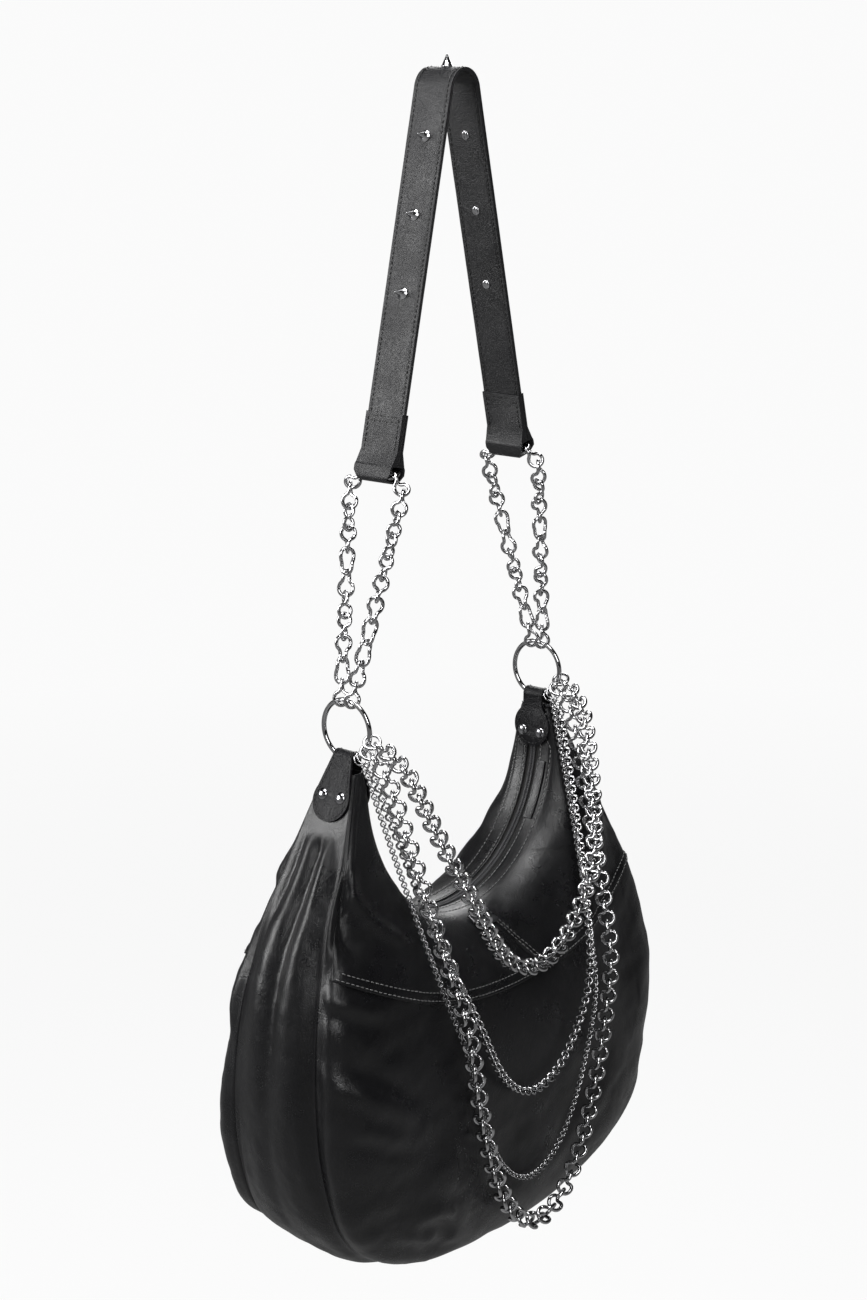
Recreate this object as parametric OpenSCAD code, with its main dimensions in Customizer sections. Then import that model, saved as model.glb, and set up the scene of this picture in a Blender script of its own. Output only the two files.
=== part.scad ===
// Slouchy shoulder bag with a chain and leather strap, O-rings and four draped front chains.
// Millimetres. The origin is the underside of the strap's crown, with Z up,
// X along the bag's length and the front of the bag towards minus Y.

/* [Strap] */
// Width of the leather strap
strap_w = 38; // [30:1:46]
// Thickness of one ply of strap leather
ply_t = 1.8; // [1.4:0.1:2.2]
// Radius of the strap's underside at the crown
crown_r = 15; // [12:1:22]
// Height from the crown's underside down to the ring centres
hang_h = 512; // [480:4:560]
// Length of the stitched overlap of each end loop
loop_tail = 40; // [30:1:50]
// Distance between neighbouring spikes along the strap
spike_gap = 62; // [50:1:64]
// Diameter of a spike's base
spike_d = 9.5; // [8:0.5:11]
// Height of a spike
spike_h = 10; // [7:0.5:13]
// Diameter of a spike's screw head
screw_head_d = 7.5; // [6:0.5:9]
// Height of a spike's screw head
screw_head_h = 1.6; // [1:0.1:2.2]
// Diameter of a spike's screw shank
screw_d = 3; // [2.6:0.1:3.4]

/* [Strap chain] */
// Length of a strap chain link
sc_len = 24; // [23:0.5:26]
// Width of a strap chain link before its twist
sc_wid = 14.5; // [14:0.5:16]
// Wire diameter of the strap chain
sc_wire = 3; // [2.6:0.1:3.1]
// Twist of each half of a strap chain link
sc_twist = 36; // [34:1:40]
// Links in each hanging leg of a strap chain
sc_leg_links = 10; // [8:1:11]

/* [Rings] */
// Distance between the centres of the two O-rings
ring_span = 252; // [240:2:264]
// Radius of an O-ring at the middle of its wire
ring_cr = 24.5; // [23.5:0.5:26]
// Wire radius of an O-ring
ring_wr = 2; // [1.8:0.1:2.2]

/* [Ring tabs] */
// Width of a ring tab at its fold
tab_fold_w = 20; // [18:1:21]
// Radius of a ring tab's round lower end
tab_end_r = 18.5; // [17:0.5:20]
// Length of a ring tab's outer leg
tab_out_len = 54; // [50:1:56]
// Length of a ring tab's inner leg
tab_in_len = 46; // [42:1:47]
// Lean of a ring tab's outer leg
tab_lean = 24; // [20:1:26]
// Distance between the two rivets of a tab
rivet_gap = 19; // [16:1:21]
// Diameter of a rivet cap
rivet_cap_d = 10; // [8:0.5:11]
// Height of a rivet cap
rivet_cap_h = 2.4; // [1.6:0.1:3]

/* [Bag body] */
// Half of the body's greatest length
bag_half = 222; // [212:2:236]
// Height from the zip arc's centre to the bottom
bag_h = 412; // [396:4:440]
// Half of the body's greatest depth
bag_half_depth = 95; // [90:1:98]
// Half of the gusset's width at the bottom
gusset_half = 48; // [42:1:54]
// Outward bulge of the gusset
gusset_bulge = 4; // [0:0.5:8]
// Thickness of the body's leather
wall = 1.6; // [1.2:0.1:2]
// Radius of the zip's arc
zip_r = 122; // [121:0.5:123]
// Height from the zip arc's centre up to the ring centres
zip_drop = 60; // [58:1:62]
// Width of the flat rim band beside the zip
rim_w = 10; // [9.5:0.5:14]
// Height of the yoke seam below the zip arc's centre at the middle
seam_drop = 178; // [168:2:190]
// Rise of the yoke seam from the middle to the sides
seam_rise = 71; // [50:1:90]

/* [Zip] */
// Half of the width of the zip's mouth
mouth_half = 6; // [5.8:0.1:6.6]
// Radius of a zip coil
coil_r = 1.15; // [0.9:0.05:1.25]
// Length of the zip's puller
puller_len = 48; // [36:1:50]
// Width of the zip's puller
puller_w = 6; // [5:0.5:8]

/* [Badge] */
// Length of the bare front plate
badge_l = 27; // [22:1:32]
// Width of the bare front plate
badge_w = 15; // [12:1:18]
// Thickness of the bare front plate
badge_t = 2.4; // [1.6:0.1:3]

/* [Draped chains] */
// Drop of the heavy chain along its path
heavy_drop = 240; // [225:5:250]
// Drop of the medium chain along its path
medium_drop = 322; // [312:5:332]
// Drop of the fine chain along its path
fine_drop = 398; // [388:5:403]
// Drop of the long chain along its path
long_drop = 452; // [442:5:457]
// Length of a heavy chain link
heavy_len = 21; // [21:0.5:22]
// Width of a heavy chain link before its twist
heavy_wid = 16; // [15.5:0.5:17]
// Wire diameter of the heavy chain
heavy_wire = 3.4; // [3:0.1:3.5]
// Length of a medium chain link
medium_len = 12.6; // [12.4:0.1:13]
// Width of a medium chain link before its twist
medium_wid = 8.2; // [8:0.1:8.6]
// Wire diameter of the medium chain
medium_wire = 1.9; // [1.7:0.1:2]
// Length of a fine chain link
fine_len = 8.9; // [8.8:0.1:9.4]
// Width of a fine chain link before its twist
fine_wid = 5.4; // [5.3:0.1:5.8]
// Wire diameter of the fine chain
fine_wire = 1.3; // [1.1:0.1:1.4]
// Length of a long chain link
long_len = 24; // [23.5:0.5:25]
// Width of a long chain link before its twist
long_wid = 16.5; // [16:0.5:17]
// Wire diameter of the long chain
long_wire = 3.2; // [2.8:0.1:3.3]

/* [Hidden] */
$fn = 48;

// Clearances and small sizes
overrun = 1;
hole_clear = 0.15;
chain_clear = 0.45;
hook_clear = 1;
jump_clear = 0.6;
seat_gap = 0.4;
tab_clear = 1.4;
corner_slack = 0.8;
leg_slim_share = 0.99;
leg_run_in = 0.3;
tunnel_clear = 1;
loop_wedge = 10;
loop_cut_y = 6.5;
loop_cut_z = 10;
corner_ang = 48.5;
joint_share = 0.01;
pin_share = 0.94;
lap_share = 0.3;
hook_y = 5.6;
spike_bore_depth = 4;
spike_count = 7;
rivet_drop = 33;
tab_in_lean = 2;
tab_neck = 8;
rivet_shank_r = 1.5;
washer_r = 4;
washer_t = 1;

// Colours
leather = [0.09, 0.09, 0.1];
leather_edge = [0.05, 0.05, 0.055];
cloth = [0.2, 0.2, 0.22];
chrome = [0.78, 0.78, 0.8];
dark_metal = [0.25, 0.25, 0.27];

// Places of the strap: the right leg's line touches the crown and ends on the ring's top
ring_x = ring_span / 2;
ring_z = -hang_h;
hook_ang = asin(hook_y / ring_cr);
hook_pt = [ring_x, ring_z + ring_cr * cos(hook_ang)];
mid_r = crown_r + ply_t;
hook_dist = norm([hook_pt[0], hook_pt[1] + crown_r]);
leg_ang = atan2(hook_pt[0], -hook_pt[1] - crown_r) - asin(mid_r / hook_dist);
leg_full = sqrt(pow(hook_dist, 2) - pow(mid_r, 2));
leg_top = [mid_r * cos(leg_ang), -crown_r + mid_r * sin(leg_ang)];

// Places along one leg of the strap chain
sc_a = (sc_len - sc_wire) / 2;
sc_b = (sc_wid - sc_wire) / 2;
sc_pitch = sc_len - 2 * sc_wire - chain_clear;
sc_half_w = sc_b * cos(sc_twist) + sc_wire / 2;
sc_half_t = sc_b * sin(sc_twist) + sc_wire / 2;
sc_step = sc_pitch - corner_slack;
sc_turn_y = sc_step * (1 + cos(corner_ang));
sc_leg_len = (sc_leg_links - 1 / 2) * sc_pitch + sc_a - (sc_wire / 2 + ring_wr + hook_clear);
sc_slope = asin((sc_turn_y - hook_y) / sc_leg_len);
sc_drop = sc_step * sin(corner_ang) + sc_leg_len * cos(sc_slope);
tunnel_d = leg_full - sc_drop;
bore_half_x = sc_half_w + tunnel_clear;
bore_half_z = sc_half_t + tunnel_clear;
strap_end_d = tunnel_d - bore_half_z - ply_t;

// Ring tabs
ring_sag = ring_cr - sqrt(pow(ring_cr, 2) - pow(tab_fold_w / 2, 2));
tab_bore_r = ring_sag / 2 + ring_wr + tab_clear;
tab_z = ring_z - ring_cr + ring_sag / 2;
zip_z = ring_z - zip_drop;

// Ears of the body, under the ring tabs
ear_top = zip_drop - ring_cr + ring_sag / 2 - tab_bore_r - ply_t - ply_t * 2;
ear_half_w = 15;
ear_gap = 0.3;
ear_low_share = -0.044;

// Stations of the body from the ear down to the middle of the bottom: the angle on the
// zip's arc, the outline's place as shares of half length and height, and the half depth
// and the gusset's half width as shares of the greatest ones
station_shares = [
    [12, 0.774, -0.126, 0.37, 0.58],
    [24, 0.883, -0.235, 0.48, 0.71],
    [36, 0.964, -0.369, 0.60, 0.83],
    [48, 1.000, -0.527, 0.74, 0.92],
    [58, 0.982, -0.690, 0.86, 0.98],
    [67, 0.885, -0.835, 0.94, 1.00],
    [75, 0.680, -0.932, 0.99, 1.00],
    [82.5, 0.360, -0.985, 1.00, 1.00],
    [90, 0.000, -1.000, 1.00, 1.00]
];
ear_low_depth_share = 0.27;
ear_low_gusset_share = 0.48;
// Share of a section over which it swells to its full depth, and where it rounds in again
swell_share = 0.5;
round_share = 0.72;
// Splits between neighbouring stations
station_steps = 2;
station_count = 2 * (len(station_shares) + 1);
grid_count = station_count * station_steps;
yoke_rows = 6;
panel_shares = [0, 0.14, 0.32, 0.5, 0.66, 0.79, 0.9, 0.97, 1];
seam_top_share = 0.94;
gusset_rows = 4;
gusset_split = 15;
lining_gap = 1.2;
lining_t = 0.8;
lining_start = 3;
lining_yoke_rows = [0, 2, 4, 6];
lining_panel_rows = [2, 4, 6, 8];

// Zip sizes
tape_gap = 0.15;
tape_t = 0.7;
tape_half = 11;
coil_y = 1.75;
tape_in_y = 0.75;
tape_ang = 2;
coil_ang = 4.2;
stop_ang = 1;
slider_ang = 9;
slider_half_len = 5.5;
slider_half_w = 5;
slider_plate_t = 1.3;
slider_clear = 0.5;
slider_web_half = 0.3;
flange_t = 0.9;
arch_r = 3.4;
arch_wire_r = 0.7;
pivot_r = 0.7;
pivot_lift = 1.2;
puller_tilt = 12;
puller_gap_y = 1.2;
rail_len = 9;
puller_t = 1.6;
strip_w = 9;
strip_ang0 = 10;
strip_ang1 = 35;
badge_y = 40;
badge_bevel = 0.8;

// Draped chains: jump rings and the guides that each chain hangs along.
// A guide starts at an angle on the ring, leaves at one lean, turns to a second lean
// and ends upright, clear of the body's front
jr_roll = 32;
oval_roll = 45;
long_twist = 36;
heavy_twist = 38;
fine_jr = [5.2, 1.4];
medium_jr = [5.6, 1.6];
long_jr = [6.6, 2.4];
heavy_jr = [6.6, 2.4];
fine_guide = [56, 29, 86, 18.5, 130, 2.6];
medium_guide = [46, 43, 50, 19, 155, 6];
long_guide = [32, 60, 52, 17.5, 140, 11];
heavy_guide = [12, 75, 57, 20, 120, 5];

// A ring or bar of round wire in the XY plane, over part of a turn
module wire_arc(r, wire, a0, turn) {
    rotate([0, 0, a0])
        rotate_extrude(angle = turn)
            translate([r, 0])
                circle(d = wire, $fn = 24);
}

// One of the twelve bars of a twisted curb link that lies along X in the XY plane. Its two
// round ends are turned opposite ways, and each side bends up and back to join them.
// The bars meet end to end over short pins inside the wire, which make them one piece.
// A size holds the link's length, its width before the twist, its wire and its twist
module link_bar(k, size) {
    wire = size[2];
    twist = size[3];
    b = (size[1] - wire) / 2;
    s = (size[0] - size[1]) / 2;
    y = b * cos(twist);
    half_rise = b * sin(twist);
    turn = 2 * atan(half_rise / s);
    side_r = s / sin(turn);
    end_cut = wire * joint_share / b * 180 / PI;
    side_cut = wire * joint_share / side_r * 180 / PI;
    bar = k % 6;
    rotate([0, 0, k < 6 ? 0 : 180]) {
        if (bar == 0)
            rotate([twist, 0, 0])
                translate([s, 0, 0])
                    wire_arc(b, wire, end_cut - 90, 180 - 2 * end_cut);
        if (bar == 1)
            translate([s, y, half_rise - side_r])
                rotate([90, 0, 0])
                    wire_arc(side_r, wire, 90 + side_cut, turn - 2 * side_cut);
        if (bar == 2)
            translate([-s, y, side_r - half_rise])
                rotate([90, 0, 0])
                    wire_arc(side_r, wire, side_cut - 90, turn - 2 * side_cut);
        if (bar > 2)
            translate([(bar - 4) * s, y, (bar - 4) * half_rise])
                rotate([0, bar == 4 ? 90 - turn : 90, 0])
                    pin(wire, 0);
    }
}

// A pin of a wire's length, a touch slimmer than it, and longer by the given length
module pin(wire, longer) {
    cylinder(d = wire * pin_share, h = longer + wire * lap_share, center = true, $fn = 24);
}

// One of the four bars of a small oval link: two round ends, and two straight sides that
// are a touch slimmer and run into them
module oval_bar(k, size) {
    b = (size[1] - size[2]) / 2;
    s = (size[0] - size[1]) / 2;
    rotate([0, 0, k < 2 ? 0 : 180])
        if (k % 2 == 0)
            translate([s, 0, 0])
                wire_arc(b, size[2], -90, 180);
        else
            translate([0, b, 0])
                rotate([0, 90, 0])
                    pin(size[2], 2 * s);
}

// Children placed in a frame, which holds a point, the direction of X and that of Z
module place(f) {
    u = f[1];
    n = f[2];
    w = cross(n, u);
    multmatrix([
        [u[0], w[0], n[0], f[0][0]],
        [u[1], w[1], n[1], f[0][1]],
        [u[2], w[2], n[2], f[0][2]],
        [0, 0, 0, 1]
    ])
        children();
}

module curb_link(f, size) {
    union()
        for (k = [0 : 11])
            place(f)
                link_bar(k, size);
}

// The fourth number of an oval link's size is its roll about the chain
module oval_link(f, size, way) {
    union()
        for (k = [0 : 3])
            place(f)
                rotate([way * size[3], 0, 0])
                    oval_bar(k, size);
}

// The frame of the right leg: X across the strap's plies, minus Z down the leg
module in_leg(d) {
    translate([leg_top[0], 0, leg_top[1]])
        rotate([0, -leg_ang, 0])
            translate([0, 0, -d])
                children();
}

module both_legs() {
    children();
    mirror([1, 0, 0])
        children();
}

// One ply of the strap between two radii at the crown. Its legs are a hair slimmer than
// the crown's arc and run a short way into it
module strap_ply(r0, r1) {
    slim = (r1 - r0) * leg_slim_share;
    difference() {
        union() {
            translate([0, 0, -crown_r])
                rotate([90, 0, 0])
                    rotate([0, 0, leg_ang])
                        rotate_extrude(angle = 180 - 2 * leg_ang)
                            translate([r0, -strap_w / 2])
                                square([r1 - r0, strap_w]);
            both_legs()
                in_leg(strap_end_d)
                    translate([r0 - mid_r + (r1 - r0 - slim) / 2, -strap_w / 2, 0])
                        cube([slim, strap_w, strap_end_d + leg_run_in]);
        }
        at_spikes() {
            cylinder(r = screw_d / 2 + hole_clear, h = 6 * ply_t, center = true);
            translate([0, 0, -ply_t - screw_head_h])
                cylinder(r = screw_head_d / 2 + hole_clear, h = screw_head_h);
        }
    }
}

// Children at each spike, with Z out of the strap and the origin between the plies
module at_spikes() {
    arc_len = mid_r * (90 - leg_ang) * PI / 180;
    translate([0, 0, ply_t])
        children();
    for (k = [1 : (spike_count - 1) / 2])
        both_legs()
            in_leg(k * spike_gap - arc_len)
                rotate([0, 90, 0])
                    children();
}

module strap_outer_ply() {
    color(leather)
        strap_ply(mid_r, mid_r + ply_t);
}

module strap_inner_ply() {
    color(leather)
        strap_ply(crown_r, mid_r);
}

module strap_spikes() {
    color(chrome)
        at_spikes()
            translate([0, 0, ply_t])
                difference() {
                    cylinder(d1 = spike_d, d2 = spike_d / 12, h = spike_h);
                    translate([0, 0, -overrun])
                        cylinder(r = screw_d / 2 + hole_clear, h = spike_bore_depth + overrun);
                }
}

module spike_screws() {
    color(chrome)
        at_spikes()
            translate([0, 0, -ply_t]) {
                mirror([0, 0, 1])
                    cylinder(d = screw_head_d, h = screw_head_h);
                cylinder(d = screw_d, h = 2 * ply_t + spike_bore_depth - hole_clear);
            }
}

// A rectangle with round corners, given by half sizes
module round_rect(hx, hy, r) {
    union() {
        square([2 * hx, 2 * (hy - r)], center = true);
        square([2 * (hx - r), 2 * hy], center = true);
        for (x = [r - hx, hx - r], y = [r - hy, hy - r])
            translate([x, y])
                circle(r = r);
    }
}

// Outline of an end loop across its width: a wall round the chain's tunnel,
// and two tails that clasp the strap's end
module loop_outline() {
    hx = bore_half_x + ply_t;
    hz = bore_half_z + ply_t;
    corner_r = sc_wire / 2 + tunnel_clear;
    difference() {
        union() {
            round_rect(hx, hz, corner_r + ply_t);
            polygon([
                [corner_r + ply_t - hx, 0],
                [hx - corner_r - ply_t, 0],
                [hx - corner_r / 2, hz - corner_r / 2],
                [2 * ply_t, hz + loop_wedge],
                [-2 * ply_t, hz + loop_wedge],
                [corner_r / 2 - hx, hz - corner_r / 2]
            ]);
            translate([-2 * ply_t, hz])
                square([4 * ply_t, loop_tail]);
        }
        round_rect(bore_half_x, bore_half_z, corner_r);
        translate([-ply_t, hz])
            square([2 * ply_t, loop_tail + overrun]);
    }
}

module end_loop() {
    half = strap_w / 2;
    low = bore_half_z + ply_t + overrun;
    high = low + loop_tail;
    color(leather)
        in_leg(tunnel_d)
            intersection() {
                rotate([90, 0, 0])
                    linear_extrude(height = strap_w, center = true)
                        loop_outline();
                rotate([90, 0, 90])
                    linear_extrude(height = 2 * strap_w, center = true)
                        polygon([
                            [-half - overrun, high],
                            [-half - overrun, loop_cut_z - low],
                            [loop_cut_y - half, -low],
                            [half - loop_cut_y, -low],
                            [half + overrun, loop_cut_z - low],
                            [half + overrun, high]
                        ]);
            }
}

module right_end_loop() {
    end_loop();
}

module left_end_loop() {
    mirror([1, 0, 0])
        end_loop();
}

// The place and the slope below the Y direction of each link in one half of a strap
// chain: it leaves the tunnel, turns down and runs to the ring
leg_turn = 90 + sc_slope;
function strap_path(i) =
    i == 0 ? [sc_pitch / 2, 0, 0]
    : i == 1 ? [
        sc_step + sc_pitch / 2 * cos(corner_ang),
        -sc_pitch / 2 * sin(corner_ang),
        corner_ang
    ]
    : [
        sc_turn_y + (i - 3 / 2) * sc_pitch * cos(leg_turn),
        -sc_step * sin(corner_ang) - (i - 3 / 2) * sc_pitch * sin(leg_turn),
        leg_turn
    ];
function in_leg_dir(v) =
    [v[0] * cos(leg_ang) - v[2] * sin(leg_ang), v[1], v[0] * sin(leg_ang) + v[2] * cos(leg_ang)];
function in_leg_point(v) =
    [leg_top[0], 0, leg_top[1]] + in_leg_dir(v - [0, 0, tunnel_d]);
function strap_frame(side, p) = [
    in_leg_point([0, side * p[0], p[1]]),
    in_leg_dir([0, side * cos(p[2]), -sin(p[2])]),
    in_leg_dir([0, side * sin(p[2]), cos(p[2])])
];

module strap_chain() {
    size = [sc_len, sc_wid, sc_wire, sc_twist];
    color(chrome)
        for (side = [-1, 1], i = [0 : sc_leg_links + 1])
            curb_link(strap_frame(side, strap_path(i)), size);
}

module right_strap_chain() {
    strap_chain();
}

module left_strap_chain() {
    rotate([0, 0, 180])
        strap_chain();
}

module o_ring() {
    color(chrome)
        translate([ring_x, 0, ring_z])
            rotate([0, 90, 0])
                rotate_extrude()
                    translate([ring_cr, 0])
                        circle(r = ring_wr);
}

module right_ring() {
    o_ring();
}

module left_ring() {
    mirror([1, 0, 0])
        o_ring();
}

// The frame of a tab's leg, with X out of the leather: side 1 is the outer leg, which leans
// out over the gusset, and side -1 the inner leg, which covers the end of the zip
module in_tab_leg(side = 1) {
    translate([ring_x, 0, tab_z])
        mirror([side < 0 ? 1 : 0, 0, 0])
            rotate([0, side < 0 ? -tab_in_lean : -tab_lean, 0])
                children();
}

// Children at the two rivet holes of one leg of the right tab, with Z out of the leather
module at_rivets(side = 1) {
    in_tab_leg(side)
        for (k = [-1, 1])
            translate([tab_bore_r, k * rivet_gap / 2, -rivet_drop])
                rotate([0, 90, 0])
                    children();
}

// A tab's legs are a hair slimmer than its fold and run a short way into it
tab_slim_t = ply_t * leg_slim_share;
tab_slim_half = tab_fold_w / 2 * leg_slim_share;

module tab_leg_outline(length, neck) {
    low = length - tab_end_r;
    translate([0, -low])
        circle(r = tab_end_r);
    polygon([
        [-tab_slim_half, -neck],
        [-tab_slim_half, leg_run_in],
        [tab_slim_half, leg_run_in],
        [tab_slim_half, -neck],
        [tab_end_r, -low],
        [-tab_end_r, -low]
    ]);
}

module tab_leg(side, length, neck) {
    in_tab_leg(side)
        translate([tab_bore_r + (ply_t - tab_slim_t) / 2, 0, 0])
            rotate([90, 0, 90])
                linear_extrude(height = tab_slim_t)
                    tab_leg_outline(length, neck);
}

module ring_tab() {
    color(leather)
        difference() {
            union() {
                translate([ring_x, 0, tab_z])
                    rotate([90, 0, 0])
                        rotate([0, 0, tab_lean])
                            rotate_extrude(angle = 180 - tab_lean - tab_in_lean)
                                translate([tab_bore_r, -tab_fold_w / 2])
                                    square([ply_t, tab_fold_w]);
                tab_leg(1, tab_out_len, 0);
                tab_leg(-1, tab_in_len, tab_neck);
            }
            for (side = [-1, 1])
                at_rivets(side)
                    cylinder(r = rivet_shank_r + hole_clear, h = 6 * ply_t, center = true);
        }
}

module right_ring_tab() {
    ring_tab();
}

module left_ring_tab() {
    mirror([1, 0, 0])
        ring_tab();
}

// A rivet with a domed cap outside and a washer behind the body's leather
module rivets(side, back) {
    cap_r = rivet_cap_d / 2;
    dome_r = (pow(cap_r, 2) + pow(rivet_cap_h, 2)) / (2 * rivet_cap_h);
    color(dark_metal)
        at_rivets(side) {
            translate([0, 0, ply_t])
                intersection() {
                    translate([0, 0, rivet_cap_h - dome_r])
                        sphere(r = dome_r);
                    cylinder(r = rivet_cap_d, h = rivet_cap_d);
                }
            translate([0, 0, -back - washer_t / 2])
                cylinder(r = rivet_shank_r, h = ply_t + back + (washer_t + rivet_cap_h) / 2);
            translate([0, 0, -back - washer_t])
                cylinder(r = washer_r, h = washer_t);
        }
}

// The inner leg leans away from the body's leather, so its rivets are longer
rivet_in_back = seat_gap + wall + seat_gap + rivet_drop * sin(tab_in_lean);

module tab_rivets() {
    rivets(1, seat_gap + wall + seat_gap);
    rivets(-1, rivet_in_back);
}

module right_tab_rivets() {
    tab_rivets();
}

module left_tab_rivets() {
    mirror([1, 0, 0])
        tab_rivets();
}

// The body is lofted through stations. Each one holds an angle along the zip's arc,
// the outline's x and z, the half depth and the gusset's half width
function ear_x(z) =
    ring_x + (tab_bore_r - seat_gap) / cos(tab_lean)
    + (tab_z - zip_z - z) * tan(tab_lean);
function arc_deg(length) = length / zip_r * 180 / PI;
function scaled(row) = [
    row[0], row[1] * bag_half, row[2] * bag_h,
    row[3] * bag_half_depth, row[4] * gusset_half
];
stations = concat(
    [
        [-arc_deg(ear_top), ear_x(ear_top), ear_top, ear_half_w, ear_half_w],
        [
            0, ear_x(ear_low_share * bag_h), ear_low_share * bag_h,
            ear_low_depth_share * bag_half_depth, ear_low_gusset_share * gusset_half
        ]
    ],
    [for (row = station_shares) scaled(row)]
);
function knot(i) =
    i < 0 ? stations[0]
    : i < len(stations) ? stations[i]
    : middle_mirror(stations[2 * len(stations) - 2 - i]);
function middle_mirror(s) = [180 - s[0], -s[1], s[2], s[3], s[4]];
// A smooth curve through the knots, straight along the ear
function blend_knots(i, f) =
    i == 0 ? knot(0) * (1 - f) + knot(1) * f
    : knot(i) * (2 - 5 * f * f + 3 * f * f * f) / 2
    + knot(i - 1) * (-f + 2 * f * f - f * f * f) / 2
    + knot(i + 1) * (f + 4 * f * f - 3 * f * f * f) / 2
    + knot(i + 2) * (f * f * f - f * f) / 2;
function half_station(u) = blend_knots(floor(u), u - floor(u));
// The left half of the body has a negative x, and the right half mirrors it
function station(g) =
    let (u = g / station_steps, half = station_count / 2)
    u <= half
        ? let (s = half_station(min(u, half - 0))) [s[0], -s[1], s[2], s[3], s[4], -1]
        : let (s = half_station(station_count - u)) [s[0], s[1], s[2], s[3], s[4], 1];
function zip_at(s) =
    s[0] < 0
        ? [s[5] * zip_r, -s[0] * PI / 180 * zip_r]
        : [s[5] * zip_r * cos(s[0]), -zip_r * sin(s[0])];
function unit(v) = v / norm(v);
function swell(t) = sqrt(1 - pow(1 - min(1, t / swell_share), 2));
function round_in(t) =
    t <= round_share ? 0 : 1 - sqrt(max(0, 1 - pow((t - round_share) / (1 - round_share), 2)));
function rim_y(s, off) = min(mouth_half + rim_w, 0.8 * (s[3] - off));
function edge_y(s) = ear_gap + (mouth_half - ear_gap) * min(1, max(0, s[0] / coil_ang));
// A point of the body's skin at share t of a section, with the leather's depth below it
function skin(s, t, off) =
    let (
        z0 = zip_at(s),
        o0 = [s[1], s[2]],
        d = unit(o0 - z0),
        a = z0 + d * off,
        b = o0 - d * off,
        p = a + (b - a) * t,
        yr = rim_y(s, off),
        y = yr + (s[3] - off - yr) * swell(t) - (s[3] - s[4]) * round_in(t)
    )
    [p[0], -y, zip_z + p[1]];
function rim_point(s, off) =
    let (z0 = zip_at(s), d = unit([s[1], s[2]] - z0), a = z0 + d * off)
    [a[0], -edge_y(s), zip_z + a[1]];
// The share of a section at which the yoke seam crosses it
function seam_height(x) = -seam_drop + seam_rise * pow(x / bag_half, 2);
function seam_side(s, t) =
    let (a = zip_at(s), p = a + ([s[1], s[2]] - a) * t)
    p[1] - seam_height(p[0]);
function seam_share(s, lo = 0, hi = 1, n = 14) =
    n == 0
        ? min(seam_top_share, (lo + hi) / 2)
        : seam_side(s, (lo + hi) / 2) > 0
            ? seam_share(s, (lo + hi) / 2, hi, n - 1)
            : seam_share(s, lo, (lo + hi) / 2, n - 1);

// A closed sheet between an outer and an inner grid of points
module sheet_solid(outer, inner) {
    ni = len(outer);
    nj = len(outer[0]);
    count = ni * nj;
    points = concat([for (row = outer) each row], [for (row = inner) each row]);
    function at(i, j) = i * nj + j;
    faces = concat(
        [for (i = [0 : ni - 2], j = [0 : nj - 2]) [at(i, j), at(i + 1, j), at(i + 1, j + 1)]],
        [for (i = [0 : ni - 2], j = [0 : nj - 2]) [at(i, j), at(i + 1, j + 1), at(i, j + 1)]],
        [for (i = [0 : ni - 2], j = [0 : nj - 2])
            [count + at(i, j), count + at(i + 1, j + 1), count + at(i + 1, j)]],
        [for (i = [0 : ni - 2], j = [0 : nj - 2])
            [count + at(i, j), count + at(i, j + 1), count + at(i + 1, j + 1)]],
        [for (i = [0 : ni - 2]) each quad(at(i, 0), count + at(i, 0), count + at(i + 1, 0), at(i + 1, 0))],
        [for (i = [0 : ni - 2])
            each quad(at(i, nj - 1), at(i + 1, nj - 1), count + at(i + 1, nj - 1), count + at(i, nj - 1))],
        [for (j = [0 : nj - 2]) each quad(at(0, j), at(0, j + 1), count + at(0, j + 1), count + at(0, j))],
        [for (j = [0 : nj - 2])
            each quad(
                at(ni - 1, j), count + at(ni - 1, j), count + at(ni - 1, j + 1), at(ni - 1, j + 1)
            )]
    );
    polyhedron(points = points, faces = faces);
}
function quad(a, b, c, d) = [[a, b, c], [a, c, d]];

function yoke_row(s, off) =
    let (ts = seam_share(s))
    concat(
        [rim_point(s, off)],
        [for (j = [0 : yoke_rows]) skin(s, ts * pow(j / yoke_rows, 2), off)]
    );
function panel_row(s, off) =
    let (ts = seam_share(s))
    [for (w = panel_shares) skin(s, ts + (1 - ts) * w, off)];
function gusset_row(s, off) =
    let (
        z0 = zip_at(s),
        d = unit([s[1], s[2]] - z0),
        bulge = gusset_bulge * min(1, max(0, s[0] / 36))
    )
    [for (j = [0 : gusset_rows])
        let (
            w = 2 * j / gusset_rows - 1,
            o = [s[1], s[2]] + d * (bulge * (1 - w * w) - off)
        )
        [o[0], w * (s[4] - off), zip_z + o[1]]];

module yoke(g0, g1) {
    difference() {
        sheet_solid(
            [for (g = [g0 : g1]) yoke_row(station(g), 0)],
            [for (g = [g0 : g1]) yoke_row(station(g), wall)]
        );
        both_legs()
            at_rivets(-1)
                cylinder(r = rivet_shank_r + hole_clear, h = 6 * ply_t, center = true);
    }
}

module front_yoke_left() {
    color(leather)
        yoke(0, grid_count / 2);
}

module front_yoke_right() {
    color(leather)
        yoke(grid_count / 2, grid_count);
}

module back_yoke_left() {
    color(leather)
        mirror([0, 1, 0])
            yoke(0, grid_count / 2);
}

module back_yoke_right() {
    color(leather)
        mirror([0, 1, 0])
            yoke(grid_count / 2, grid_count);
}

module panel() {
    sheet_solid(
        [for (g = [0 : grid_count]) panel_row(station(g), 0)],
        [for (g = [0 : grid_count]) panel_row(station(g), wall)]
    );
}

module front_panel() {
    color(leather)
        panel();
}

module back_panel() {
    color(leather)
        mirror([0, 1, 0])
            panel();
}

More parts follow.
